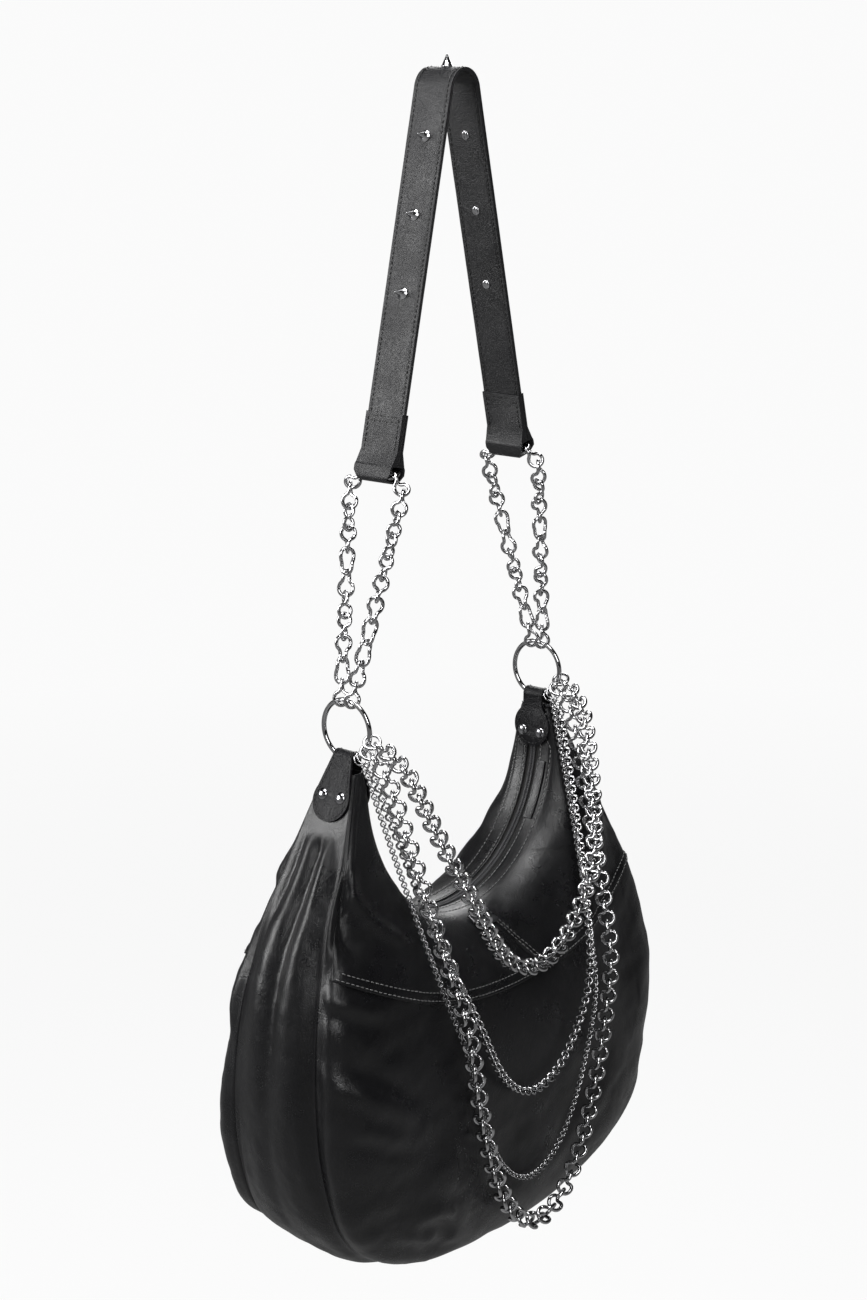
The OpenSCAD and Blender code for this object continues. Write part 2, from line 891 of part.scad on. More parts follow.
module gusset(g0, g1) {
    difference() {
        sheet_solid(
            [for (g = [g0 : g1]) gusset_row(station(g), 0)],
            [for (g = [g0 : g1]) gusset_row(station(g), wall)]
        );
        both_legs()
            at_rivets()
                cylinder(r = rivet_shank_r + hole_clear, h = 6 * ply_t, center = true);
    }
}

module left_gusset() {
    color(leather)
        gusset(0, gusset_split);
}

module base_gusset() {
    color(leather)
        gusset(gusset_split, grid_count - gusset_split);
}

module right_gusset() {
    color(leather)
        gusset(grid_count - gusset_split, grid_count);
}

// The lining hangs inside the body as one sheet, from one side of the zip to the other.
// Its points lie under some of the leather's own, so it never cuts through the leather
function lining_side(s, off) =
    let (ts = seam_share(s))
    concat(
        [for (j = lining_yoke_rows) skin(s, ts * pow(j / yoke_rows, 2), off)],
        [for (j = lining_panel_rows) skin(s, ts + (1 - ts) * panel_shares[j], off)]
    );
function lining_row(s, off) =
    let (side = lining_side(s, off), n = len(side))
    concat(side, [for (k = [1 : n]) [side[n - k][0], -side[n - k][1], side[n - k][2]]]);

module lining() {
    stops = [for (g = [lining_start : grid_count - lining_start]) g];
    color(cloth)
        sheet_solid(
            [for (g = stops) lining_row(station(g), wall + lining_gap)],
            [for (g = stops) lining_row(station(g), wall + lining_gap + lining_t)]
        );
}

// A block that follows the zip's arc, from one angle and radius and y to another
module zip_block(a0, a1, r0, r1, y0, y1) {
    translate([0, 0, zip_z])
        rotate([90, 0, 0])
            rotate([0, 0, 180 + a0])
                rotate_extrude(angle = a1 - a0, $fn = 180)
                    translate([r0, -y1])
                        square([r1 - r0, y1 - y0]);
}

module zip_tape() {
    color(cloth)
        zip_block(
            tape_ang, 180 - tape_ang,
            zip_r + wall + tape_gap, zip_r + wall + tape_gap + tape_t,
            -tape_half, -tape_in_y
        );
}

module zip_tape_front() {
    zip_tape();
}

module zip_tape_back() {
    mirror([0, 1, 0])
        zip_tape();
}

coil_c = zip_r + wall - coil_r;

module zip_coil() {
    color(leather_edge)
        translate([0, coil_y, zip_z])
            rotate([90, 0, 0])
                rotate([0, 0, 180 + coil_ang])
                    rotate_extrude(angle = 180 - 2 * coil_ang, $fn = 180)
                        translate([coil_c, 0])
                            circle(r = coil_r, $fn = 24);
}

module zip_coil_back() {
    zip_coil();
}

module zip_coil_front() {
    mirror([0, 1, 0])
        zip_coil();
}

module zip_end_stops() {
    color(dark_metal)
        for (a = [coil_ang - stop_ang, 180 - coil_ang])
            zip_block(
                a, a + stop_ang,
                coil_c - coil_r, zip_r + wall,
                -coil_y - coil_r, coil_y + coil_r
            );
}

// The slider's plates follow the zip's arc, one above the coils and one below the tapes
slider_top_r = coil_c - coil_r - slider_clear;
slider_low_r = zip_r + wall + tape_gap + tape_t + slider_clear;
slider_half_ang = arc_deg(slider_half_len);

module slider_block(share, r0, r1, y0, y1) {
    zip_block(
        slider_ang - slider_half_ang * share, slider_ang + slider_half_ang * share,
        r0, r1, y0, y1
    );
}

// The frame of the slider's upper face, with X into the bag and Z towards the front
module on_slider(lift) {
    translate([0, 0, zip_z])
        rotate([90, 0, 0])
            rotate([0, 0, 180 + slider_ang])
                translate([slider_top_r - slider_plate_t - lift, 0, 0])
                    children();
}

module zip_slider() {
    web_share = 0.5;
    sink = slider_plate_t / 2;
    color(dark_metal)
        union() {
            slider_block(
                1, slider_top_r - slider_plate_t, slider_top_r, -slider_half_w, slider_half_w
            );
            slider_block(
                1, slider_low_r, slider_low_r + slider_plate_t, -slider_half_w, slider_half_w
            );
            slider_block(
                web_share, slider_top_r - sink, slider_low_r + sink,
                -slider_web_half, slider_web_half
            );
            for (y = [-slider_half_w, slider_half_w - flange_t])
                slider_block(1, slider_top_r - sink, coil_c, y, y + flange_t);
            on_slider(-arch_wire_r / 2)
                wire_arc(arch_r, 2 * arch_wire_r, 90, 180);
        }
}

module zip_puller() {
    plate_start = rail_len;
    tip_r = puller_w / 2;
    color(dark_metal)
        on_slider(pivot_lift)
            rotate([0, 0, puller_tilt])
                union() {
                    cylinder(r = pivot_r, h = puller_w, center = true);
                    for (k = [-1, 1])
                        translate([-pivot_r, 0, k * (puller_w - puller_gap_y) / 2 - puller_gap_y / 2])
                            cube([2 * pivot_r, plate_start + overrun, puller_gap_y]);
                    translate([-puller_t / 2, plate_start, -tip_r])
                        cube([puller_t, puller_len - plate_start - tip_r, puller_w]);
                    translate([-puller_t / 2, puller_len - tip_r, 0])
                        rotate([0, 90, 0])
                            cylinder(r = tip_r, h = puller_t);
                }
}

// A narrow raised strip on the rim band beside the zip's end, on the front side
module ear_strip() {
    color(leather)
        zip_block(
            strip_ang0, strip_ang1,
            zip_r - 2 * tape_gap - wall, zip_r - 2 * tape_gap,
            -mouth_half - seat_gap - strip_w, -mouth_half - seat_gap
        );
}

module left_ear_strip() {
    ear_strip();
}

module right_ear_strip() {
    mirror([1, 0, 0])
        ear_strip();
}

// The bare plate lies on the front yoke, on the slope of the middle section
module badge_plate() {
    s = station(grid_count / 2);
    yr = rim_y(s, 0);
    q = (badge_y - yr) / (s[3] - yr);
    depth = -s[2] - zip_r;
    z = zip_z - zip_r - depth * swell_share * (1 - sqrt(1 - q * q));
    slope = atan(depth * swell_share / (s[3] - yr) * q / sqrt(1 - q * q));
    sag = pow(badge_l / 2, 2) / (2 * zip_r);
    color(dark_metal)
        translate([0, -badge_y, z])
            rotate([slope, 0, 0])
                translate([0, 0, sag + tape_gap])
                    hull() {
                        translate([-badge_l / 2, -badge_w / 2, 0])
                            cube([badge_l, badge_w, badge_t - badge_bevel]);
                        translate([badge_bevel - badge_l / 2, badge_bevel - badge_w / 2, 0])
                            cube([badge_l - 2 * badge_bevel, badge_w - 2 * badge_bevel, badge_t]);
                    }
}

// Draped chains. In the plane of a guide each chain hangs as a catenary between the rings
function cosh(x) = (exp(x) + exp(-x)) / 2;
function sinh(x) = (exp(x) - exp(-x)) / 2;
function asinh(x) = ln(x + sqrt(x * x + 1));
function for_drop(drop, lo, hi, n = 40) =
    let (m = (lo + hi) / 2)
    n == 0 ? m
    : m * (cosh(ring_x / m) - 1) > drop ? for_drop(drop, m, hi, n - 1) : for_drop(drop, lo, m, n - 1);
function for_length(half, lo, hi, n = 40) =
    let (m = (lo + hi) / 2)
    n == 0 ? m
    : m * sinh(ring_x / m) > half ? for_length(half, m, hi, n - 1) : for_length(half, lo, m, n - 1);

// The chain's facts: pitch, jump ring centre, first link centre, even count of links,
// half length, catenary size and drop
function chain_facts(l, wire, jr, drop) =
    let (
        pitch = l - 2 * wire - chain_clear,
        jr_c = jr[0] - ring_wr - jr[1] / 2 - jump_clear,
        first = jr_c + jr[0] - jr[1] / 2 - wire / 2 - chain_clear + (l - wire) / 2,
        m0 = for_drop(drop, ring_x / 12, ring_x * 2),
        n = 2 * round((m0 * sinh(ring_x / m0) - first) / pitch + 1 / 2),
        half = first + (n - 1) * pitch / 2,
        m = for_length(half, ring_x / 12, ring_x * 2)
    )
    [pitch, jr_c, first, n, half, m, m * (cosh(ring_x / m) - 1)];

// A guide in the plane across the rings: distance out of the front, height and lean
function guide_at(g, v) =
    let (
        y0 = ring_cr * cos(g[0]),
        z0 = -ring_cr * sin(g[0]),
        front = bag_half_depth + g[5],
        len1 = g[2] * (g[1] - g[3]) * PI / 180,
        y1 = y0 + g[2] * (cos(g[3]) - cos(g[1])),
        z1 = z0 - g[2] * (sin(g[1]) - sin(g[3])),
        len2 = (front - y1 - g[4] * (1 - cos(g[3]))) / sin(g[3]),
        y2 = y1 + len2 * sin(g[3]),
        z2 = z1 - len2 * cos(g[3]),
        len3 = g[4] * g[3] * PI / 180,
        z3 = z2 - g[4] * sin(g[3])
    )
    v < len1
        ? let (t = g[1] - v / g[2] * 180 / PI)
            [y0 + g[2] * (cos(t) - cos(g[1])), z0 - g[2] * (sin(g[1]) - sin(t)), t]
    : v < len1 + len2
        ? [y1 + (v - len1) * sin(g[3]), z1 - (v - len1) * cos(g[3]), g[3]]
    : v < len1 + len2 + len3
        ? let (t = g[3] - (v - len1 - len2) / g[4] * 180 / PI)
            [y2 + g[4] * (cos(t) - cos(g[3])), z2 - g[4] * (sin(g[3]) - sin(t)), t]
    : [front, z3 - (v - len1 - len2 - len3), 0];
function drape_point(f, g, s) =
    let (p = guide_at(g, f[6] - sqrt(f[5] * f[5] + s * s) + f[5]))
    [f[5] * asinh(s / f[5]), -p[0], ring_z + p[1]];

// The frame on a drape at arc length s, with X along the chain and Z outwards
function drape_frame(f, g, s, reach) =
    let (
        p0 = drape_point(f, g, s - reach),
        p1 = drape_point(f, g, s + reach),
        u = unit(p1 - p0),
        t = guide_at(g, f[6] - sqrt(f[5] * f[5] + s * s) + f[5])[2],
        n0 = [0, -cos(t), sin(t)]
    )
    [(p0 + p1) / 2, u, unit(n0 - u * (n0 * u))];

module drape(size, jr, drop, g, oval = false) {
    f = chain_facts(size[0], size[2], jr, drop);
    color(chrome)
        for (i = [0 : f[3] - 1]) {
            at = drape_frame(f, g, (i - (f[3] - 1) / 2) * f[0], f[0] / 2);
            if (oval)
                oval_link(at, size, i % 2 == 0 ? -1 : 1);
            else
                curb_link(at, size);
        }
}

module jump_rings(size, jr, drop, g) {
    f = chain_facts(size[0], size[2], jr, drop);
    color(chrome)
        for (k = [-1, 1])
            place(drape_frame(f, g, k * (f[4] - f[1]), jr[1] / 2))
                rotate([-k * jr_roll, 0, 0])
                    rotate_extrude()
                        translate([jr[0], 0])
                            circle(d = jr[1], $fn = 24);
}

fine_size = [fine_len, fine_wid, fine_wire, oval_roll];
medium_size = [medium_len, medium_wid, medium_wire, oval_roll];
long_size = [long_len, long_wid, long_wire, long_twist];
heavy_size = [heavy_len, heavy_wid, heavy_wire, heavy_twist];

module drape_fine() {
    drape(fine_size, fine_jr, fine_drop, fine_guide, true);
}

module drape_medium() {
    drape(medium_size, medium_jr, medium_drop, medium_guide, true);
}

module drape_long() {
    drape(long_size, long_jr, long_drop, long_guide);
}

module drape_heavy() {
    drape(heavy_size, heavy_jr, heavy_drop, heavy_guide);
}

module jump_rings_fine() {
    jump_rings(fine_size, fine_jr, fine_drop, fine_guide);
}

module jump_rings_medium() {
    jump_rings(medium_size, medium_jr, medium_drop, medium_guide);
}

module jump_rings_long() {
    jump_rings(long_size, long_jr, long_drop, long_guide);
}

module jump_rings_heavy() {
    jump_rings(heavy_size, heavy_jr, heavy_drop, heavy_guide);
}

strap_outer_ply();
strap_inner_ply();
left_end_loop();
right_end_loop();
strap_spikes();
spike_screws();
left_strap_chain();
right_strap_chain();
left_ring();
right_ring();
left_ring_tab();
right_ring_tab();
left_tab_rivets();
right_tab_rivets();
front_panel();
back_panel();
front_yoke_left();
front_yoke_right();
back_yoke_left();
back_yoke_right();
left_gusset();
right_gusset();
base_gusset();
lining();
zip_tape_front();
zip_tape_back();
zip_coil_front();
zip_coil_back();
zip_end_stops();
zip_slider();
zip_puller();
left_ear_strip();
right_ear_strip();
badge_plate();
drape_fine();
drape_medium();
drape_long();
drape_heavy();
jump_rings_fine();
jump_rings_medium();
jump_rings_long();
jump_rings_heavy();
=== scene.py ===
import math

import bmesh
import bpy
import numpy as np
from mathutils import Matrix, Vector, noise


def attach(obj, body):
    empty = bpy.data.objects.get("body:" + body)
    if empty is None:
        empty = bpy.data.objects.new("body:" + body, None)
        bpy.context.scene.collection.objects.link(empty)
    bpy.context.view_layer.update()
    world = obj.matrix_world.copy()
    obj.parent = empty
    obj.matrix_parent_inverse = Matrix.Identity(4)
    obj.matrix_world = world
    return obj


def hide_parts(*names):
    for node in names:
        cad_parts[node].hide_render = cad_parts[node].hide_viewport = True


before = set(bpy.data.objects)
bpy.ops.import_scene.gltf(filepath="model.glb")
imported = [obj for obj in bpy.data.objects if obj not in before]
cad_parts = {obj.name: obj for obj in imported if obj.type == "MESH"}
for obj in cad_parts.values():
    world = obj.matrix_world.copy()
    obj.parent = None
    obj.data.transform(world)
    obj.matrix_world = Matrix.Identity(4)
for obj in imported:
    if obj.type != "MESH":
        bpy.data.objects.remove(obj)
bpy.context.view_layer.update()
scene = bpy.context.scene
rng = np.random.default_rng(11)

# Sizes in millimetres, as in the part's source
STRAP_W, PLY, CROWN_R = 38.0, 1.8, 15.0
MID_R = CROWN_R + PLY
RING_X, RING_Z, RING_CR, RING_WR = 126.0, -512.0, 24.5, 2.0
ZIP_R, ZIP_Z, MOUTH, RIM, ZIP_END = 122.0, -572.0, 6.0, 10.0, 4.2
HALF, BAG_H, DEPTH, GUSSET = 222.0, 412.0, 95.0, 48.0
WALL, SEAT_GAP, EAR_GAP, RIM_SHARE = 1.6, 0.4, 0.3, 0.8
CHAIN_CLEAR, JUMP_CLEAR, HOOK_CLEAR, TUNNEL_CLEAR = 0.45, 0.6, 1.0, 1.0
SEAM_DROP, SEAM_RISE, SEAM_TOP_SHARE = 178.0, 71.0, 0.94


# Numbers and points

def unit(v):
    v = np.asarray(v, float)
    return v / np.linalg.norm(v, axis=-1, keepdims=True)


def smooth(x):
    """A soft step from 0 at x = 0 to 1 at x = 1."""
    x = np.clip(x, 0.0, 1.0)
    return x * x * (3 - 2 * x)


def below(z, level, over):
    """0 above a level, rising softly to 1 at the distance over beneath it."""
    return smooth((level - z) / over)


def above(z, level, over):
    return smooth((z - level) / over)


def bell(x, wide):
    """A hump that is 1 at x = 0 and has faded to 2 % at twice its width."""
    return np.exp(-(x / wide) ** 2)


def cos_deg(a):
    return np.cos(np.radians(a))


def sin_deg(a):
    return np.sin(np.radians(a))


def points(*values):
    """Rows of coordinates from one array or number per axis."""
    return np.stack(np.broadcast_arrays(*values), -1)


def turned(v, lean, side=1):
    """v out of a frame that leans by an angle in the XZ plane; side -1 mirrors it to the left."""
    v = np.asarray(v, float)
    c, s = math.cos(lean), math.sin(lean)
    return points(side * (v[..., 0] * c - v[..., 2] * s), v[..., 1], v[..., 0] * s + v[..., 2] * c)


def lengths(p):
    """Distance along a line from its first point to each of its points."""
    return np.concatenate([[0], np.cumsum(np.linalg.norm(np.diff(p, axis=0), axis=1))])


def at_lengths(u, s, q):
    """The columns of q, known at the lengths s, at the lengths u."""
    return np.stack([np.interp(u, s, column) for column in np.asarray(q).T], -1)


# Meshes

class Parts:
    """Gathers several closed pieces into one mesh."""

    def __init__(self):
        self.v, self.f, self.n = [], [], 0

    def add(self, v, f):
        v = np.asarray(v, float).reshape(-1, 3)
        self.v.append(v)
        self.f += [tuple(i + self.n for i in face) for face in f]
        self.n += len(v)

    def make(self, name, body, material, slot, *replaces):
        me = bpy.data.meshes.new(name)
        me.from_pydata((np.concatenate(self.v) * 0.001).tolist(), [], self.f)
        me.polygons.foreach_set("use_smooth", [True] * len(me.polygons))
        me.materials.append(material)
        me.update()
        ob = bpy.data.objects.new(name, me)
        scene.collection.objects.link(ob)
        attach(ob, body)
        if replaces:
            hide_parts(*replaces)
        return ob


def grid_faces(n, m, close_i=False, close_j=False, flip=False):
    """Faces of a grid of n by m points, closed on itself along i or j where asked."""
    out = []
    for i in range(n if close_i else n - 1):
        for j in range(m if close_j else m - 1):
            a, b = i * m + j, i * m + (j + 1) % m
            c, d = ((i + 1) % n) * m + (j + 1) % m, ((i + 1) % n) * m + j
            out.append((a, d, c, b) if flip else (a, b, c, d))
    return out


def tube(path, r, sides=12, closed=False, ref=None):
    """A round wire along a path. ref holds a vector per point that its section leans on."""
    p = np.asarray(path, float)
    n = len(p)
    t = unit(np.roll(p, -1, 0) - np.roll(p, 1, 0) if closed else np.gradient(p, axis=0))
    if ref is None:
        a = np.zeros_like(p)
        v = np.cross(t[0], [0.3, 0.5, 0.8])
        for i in range(n):
            v = unit(v - t[i] * v.dot(t[i]))
            a[i] = v
    else:
        ref = np.asarray(ref, float)
        a = unit(ref - t * np.sum(ref * t, 1, keepdims=True))
    b = np.cross(t, a)
    r = np.broadcast_to(np.asarray(r, float), (n,))[:, None, None]
    ang = np.linspace(0, 2 * np.pi, sides, endpoint=False)[None, :, None]
    v = p[:, None, :] + r * (a[:, None, :] * np.cos(ang) + b[:, None, :] * np.sin(ang))
    f = grid_faces(n, sides, close_i=closed, close_j=True)
    if not closed:
        f.append(tuple(range(sides))[::-1])
        f.append(tuple((n - 1) * sides + k for k in range(sides)))
    return v, f


def ring_wire(centre, r, x, y, wire_r, count, sides):
    """A ring of round wire about a centre, in the plane of x and y."""
    a = np.linspace(0, 2 * np.pi, count, endpoint=False)[:, None]
    out = r * (np.cos(a) * np.asarray(x) + np.sin(a) * np.asarray(y))
    return tube(centre + out, wire_r, sides, closed=True, ref=out)


def lathe(profile, sides=40):
    """A turned piece about Z from (radius, height) points that start and end on the axis."""
    ang = np.linspace(0, 2 * np.pi, sides, endpoint=False)
    inner = profile[1:-1]
    v = [[0, 0, profile[0][1]]]
    for r, z in inner:
        v += [[r * math.cos(a), r * math.sin(a), z] for a in ang]
    v.append([0, 0, profile[-1][1]])
    f = [tuple(i + 1 for i in face) for face in grid_faces(len(inner), sides, close_j=True)]
    last = 1 + (len(inner) - 1) * sides
    for k in range(sides):
        after = (k + 1) % sides
        f += [(0, 1 + after, 1 + k), (last + k, last + after, len(v) - 1)]
    return np.array(v), f


def placed(v, origin, x, z):
    """v out of the frame with the given origin and X and Z axes."""
    x, z = unit(x), unit(z)
    return np.asarray(origin) + v @ np.array([x, np.cross(z, x), z])


def stitch_row(parts, path, normals, length=2.9, gap=1.1, r=0.3, lift=0.12):
    """Short threads along a path, each with its ends drawn into the leather."""
    p, out = np.asarray(path, float), unit(normals)
    s, start = lengths(p), 0.6
    if s[-1] < length:
        return
    count = max(1, int((s[-1] - start) // (length + gap)))
    step = (s[-1] - start) / count
    arch = np.array([-0.35, 0.6, 1.0, 0.6, -0.35])
    taper = np.array([0.55, 1, 1.05, 1, 0.55])
    for k in range(count):
        a = start + k * step
        u = np.linspace(a, a + step - gap, len(arch))
        up = unit(at_lengths(u, s, out))
        high = arch * r + lift
        parts.add(*tube(at_lengths(u, s, p) + up * high[:, None], r * taper, 6, ref=up))


# Materials

def grey(v):
    return (v, v, v)


def material(name, base, rough, metallic=0.0, specular=0.5):
    """A new material, its node tree and its main shader."""
    m = bpy.data.materials.new(name)
    m.use_nodes = True
    b = m.node_tree.nodes["Principled BSDF"]
    b.inputs["Base Color"].default_value = (*base, 1)
    b.inputs["Roughness"].default_value = rough
    b.inputs["Metallic"].default_value = metallic
    b.inputs["Specular IOR Level"].default_value = specular
    return m, m.node_tree, b


def node(nt, kind, *sources, **values):
    """A new shader node, with sources or numbers for its first inputs and named values set."""
    n = nt.nodes.new("ShaderNode" + kind)
    for k, v in values.items():
        if k in n.inputs:
            n.inputs[k].default_value = v
        else:
            setattr(n, k, v)
    for k, source in enumerate(sources):
        if isinstance(source, (int, float)):
            n.inputs[k].default_value = source
        else:
            nt.links.new(source, n.inputs[k])
    return n


def coords(nt, scale=(1, 1, 1)):
    return node(nt, "Mapping", node(nt, "TexCoord").outputs["Object"], Scale=scale).outputs["Vector"]


def tex(nt, kind, vec, output="Fac", **values):
    """The output of a texture of the named kind, read at the coordinates vec."""
    return node(nt, "Tex" + kind, vec, **values).outputs[output]


def ramp(nt, source, *stops, how="LINEAR"):
    """A colour ramp through stops of a position and a colour or grey value."""
    n = node(nt, "ValToRGB", source)
    n.color_ramp.interpolation = how
    els = n.color_ramp.elements
    els[0].position, els[1].position = stops[0][0], stops[-1][0]
    for k, (pos, colour) in enumerate(stops):
        e = els[0] if k == 0 else els[-1] if k == len(stops) - 1 else els.new(pos)
        e.color = (*(grey(colour) if np.isscalar(colour) else colour), 1)
    return n.outputs["Color"]


def bump(nt, height, strength, distance, normal=None):
    n = node(nt, "Bump", strength, distance)
    nt.links.new(height, n.inputs["Height"])
    if normal is not None:
        nt.links.new(normal, n.inputs["Normal"])
    return n.outputs["Normal"]


def maths(nt, op, *values):
    return node(nt, "Math", *values, operation=op).outputs[0]


def mixed(nt, share, first, second):
    """A shader that goes from the first to the second by a share."""
    return node(nt, "MixShader", share, first, second).outputs["Shader"]


def leather(name, base=(0.0035, 0.0035, 0.0042), rough=0.30, grain=1.0, crease=1.0, gloss=0.5):
    """Grained faux leather: small pebbles, fine hair creases, and soft scuffs."""
    m, nt, b = material(name, base, rough, specular=gloss)
    vec = coords(nt)
    cells = tex(nt, "Voronoi", vec, "Distance", Scale=900.0, feature="DISTANCE_TO_EDGE")
    pebbles = ramp(nt, cells, (0.0, 0), (0.22, 1))
    fine = tex(nt, "Noise", vec, Scale=1600.0, Detail=3.0)
    lines = tex(nt, "Noise", vec, Scale=46.0, Detail=5.0, Roughness=0.62, Distortion=1.2)
    hair = ramp(nt, maths(nt, "ABSOLUTE", maths(nt, "SUBTRACT", lines, 0.5)), (0.0, 0), (0.05, 1))
    soft = tex(nt, "Noise", vec, Scale=13.0, Detail=3.0, Roughness=0.5)
    up = bump(nt, pebbles, 0.28 * grain, 0.00018)
    up = bump(nt, fine, 0.18 * grain, 0.00012, up)
    up = bump(nt, hair, 0.20 * crease, 0.0004, up)
    nt.links.new(bump(nt, soft, 0.35 * crease, 0.004, up), b.inputs["Normal"])
    scuff = tex(nt, "Noise", vec, Scale=28.0, Detail=6.0, Roughness=0.65)
    nt.links.new(ramp(nt, scuff, (0.35, rough - 0.06), (0.72, rough + 0.13)), b.inputs["Roughness"])
    dark, light = [x * 0.8 for x in base], [x * 1.4 + 0.0005 for x in base]
    nt.links.new(ramp(nt, soft, (0.3, dark), (0.75, light)), b.inputs["Base Color"])
    return m


def metal(name, base, rough, scratch=1.0):
    """Plated metal with fine scratches and a slightly uneven polish."""
    m, nt, b = material(name, base, rough, metallic=1.0)
    wide = tex(nt, "Noise", coords(nt), Scale=90.0, Detail=4.0)
    nt.links.new(ramp(nt, wide, (0.35, rough * 0.7), (0.7, rough * 1.5)), b.inputs["Roughness"])
    lines = tex(nt, "Noise", coords(nt, (60, 60, 1400)), Scale=1.0, Detail=3.0)
    up = bump(nt, lines, 0.06 * scratch, 0.0001)
    nt.links.new(bump(nt, wide, 0.05 * scratch, 0.0006, up), b.inputs["Normal"])
    nt.links.new(ramp(nt, wide, (0.3, [x * 0.9 for x in base]), (0.7, base)), b.inputs["Base Color"])
    return m


def cloth(name, base, scale=1500.0, rough=0.85):
    """A plain weave: two crossed sets of thread waves."""
    m, nt, b = material(name, base, rough, specular=0.3)
    vec = coords(nt)
    both = maths(nt, "MAXIMUM", *[tex(nt, "Wave", vec, Scale=scale / 4, bands_direction=d) for d in "XZ"])
    nt.links.new(bump(nt, both, 0.5, 0.0003), b.inputs["Normal"])
    nt.links.new(ramp(nt, both, (0.2, [x * 0.6 for x in base]), (0.9, base)), b.inputs["Base Color"])
    b.inputs["Sheen Weight"].default_value = 0.2
    return m


def plastic(name, base, rough):
    m, nt, b = material(name, base, rough)
    nt.links.new(bump(nt, tex(nt, "Noise", coords(nt), Scale=900.0), 0.2, 0.0002), b.inputs["Normal"])
    return m


def thread(name, dark, light):
    m, nt, b = material(name, grey(dark), 0.42)
    wave = tex(nt, "Wave", coords(nt), Scale=900.0, bands_direction="DIAGONAL")
    nt.links.new(bump(nt, wave, 0.5, 0.0002), b.inputs["Normal"])
    nt.links.new(ramp(nt, wave, (0.1, dark), (0.9, light)), b.inputs["Base Color"])
    return m


M_BAG = leather("bag_leather")
M_STRAP = leather("strap_leather", (0.006, 0.006, 0.007), 0.40, 1.6, 1.3)
M_TAB = leather("tab_leather", (0.004, 0.004, 0.005), 0.34, 1.4, 1.6, 0.22)
M_TRIM = leather("trim_leather", (0.004, 0.004, 0.005), 0.32, 0.8, 0.5)
M_LINING = cloth("lining_cloth", (0.05, 0.05, 0.055))
M_TAPE = cloth("zip_tape", grey(0.012), 2200.0, 0.8)
M_COIL = plastic("zip_coil", (0.06, 0.06, 0.064), 0.30)
M_THREAD = thread("thread", 0.012, 0.03)
# The same black thread painted lighter: a painted sheen that stands in for the glossy thread's highlights
# on the body and ear strip stitches
M_SHEEN_PAINTED_THREAD = thread("seam_thread_painted_sheen", 0.11, 0.20)
M_CHROME = metal("chain_chrome", (0.62, 0.62, 0.63), 0.11)
M_RING = metal("ring_chrome", (0.64, 0.64, 0.65), 0.10)
M_SPIKE = metal("spike_chrome", (0.72, 0.72, 0.74), 0.16)
M_RIVET = metal("rivet_metal", (0.45, 0.45, 0.47), 0.14)
M_ZIP = metal("zip_metal", (0.20, 0.20, 0.21), 0.28)
M_BADGE = metal("badge_metal", (0.14, 0.14, 0.145), 0.30, 1.6)

# Places of the strap and its chains, worked out as in the part's source
HOOK_Y = 5.6
hook_ang = math.asin(HOOK_Y / RING_CR)
hook_x, hook_z = RING_X, RING_Z + RING_CR * math.cos(hook_ang)
hook_dist = math.hypot(hook_x, hook_z + CROWN_R)
LEG = math.atan2(hook_x, -hook_z - CROWN_R) - math.asin(MID_R / hook_dist)
leg_full = math.sqrt(hook_dist ** 2 - MID_R ** 2)
LEG_TOP = np.array([MID_R * math.cos(LEG), 0, -CROWN_R + MID_R * math.sin(LEG)])
SC_L, SC_W, SC_D, SC_TWIST = 24.0, 14.5, 3.0, 36.0
SC_LINKS, CORNER, CORNER_SLACK = 10, 48.5, 0.8
sc_pitch = SC_L - 2 * SC_D - CHAIN_CLEAR
sc_half_t = (SC_W - SC_D) / 2 * sin_deg(SC_TWIST) + SC_D / 2
sc_step = sc_pitch - CORNER_SLACK
turn_y = sc_step * (1 + cos_deg(CORNER))
leg_len = (SC_LINKS - 0.5) * sc_pitch + (SC_L - SC_D) / 2 - (SC_D / 2 + RING_WR + HOOK_CLEAR)
slope = math.degrees(math.asin((turn_y - HOOK_Y) / leg_len))
TUNNEL_D = leg_full - sc_step * sin_deg(CORNER) - leg_len * cos_deg(slope)
END_D = TUNNEL_D - (sc_half_t + TUNNEL_CLEAR) - PLY


def in_leg(v, side=1):
    """A point given in a strap leg's own frame, in the part's frame; side -1 is the left leg."""
    return turned(v, LEG, side) + LEG_TOP * [side, 1, 1]


def leg_out(side):
    return turned([1, 0, 0], LEG, side)


def strap_line():
    """Points, outward normals and lengths along the middle of the strap, left end to right."""
    n_leg, n_arc = 90, 25
    down = np.linspace(END_D, 0, n_leg, endpoint=False)[:, None] * [0, 0, -1]
    a = np.linspace(math.pi - LEG, LEG, n_arc)
    arc_n = points(np.cos(a), 0, np.sin(a))
    pts = np.concatenate([in_leg(down, -1), MID_R * arc_n - [0, 0, CROWN_R], in_leg(down[::-1])])
    nrm = np.concatenate([np.tile(leg_out(-1), (n_leg, 1)), arc_n, np.tile(leg_out(1), (n_leg, 1))])
    return pts, nrm, lengths(pts)


# The strap's two plies and its stitches
EDGE_ROW, GROOVE, STRAP_THREAD = 3.2, 0.34, 0.32


def ply_profile(sign):
    """Section of one ply as (y, height): stitched grooves, a soft crown and rounded edges."""
    half, r, drop, bevel = STRAP_W / 2, 0.55, 0.10, 0.05
    across = np.linspace(-half + r, half - r, 41)
    face = PLY - GROOVE * bell(abs(across) - (half - EDGE_ROW), 1.0) - drop * (abs(across) / half) ** 6
    corner = [(half - r + r * cos_deg(a), PLY - drop - r + r * sin_deg(a)) for a in (60, 30, 0)]
    outer = [*zip(across, face), *corner, (half, bevel)]
    outer += [(y, 0.0) for y in across[::-4]]
    outer += [(-half, bevel), *[(-y, h) for y, h in corner[::-1]]]
    return outer if sign > 0 else [(y, -h) for y, h in outer[::-1]]


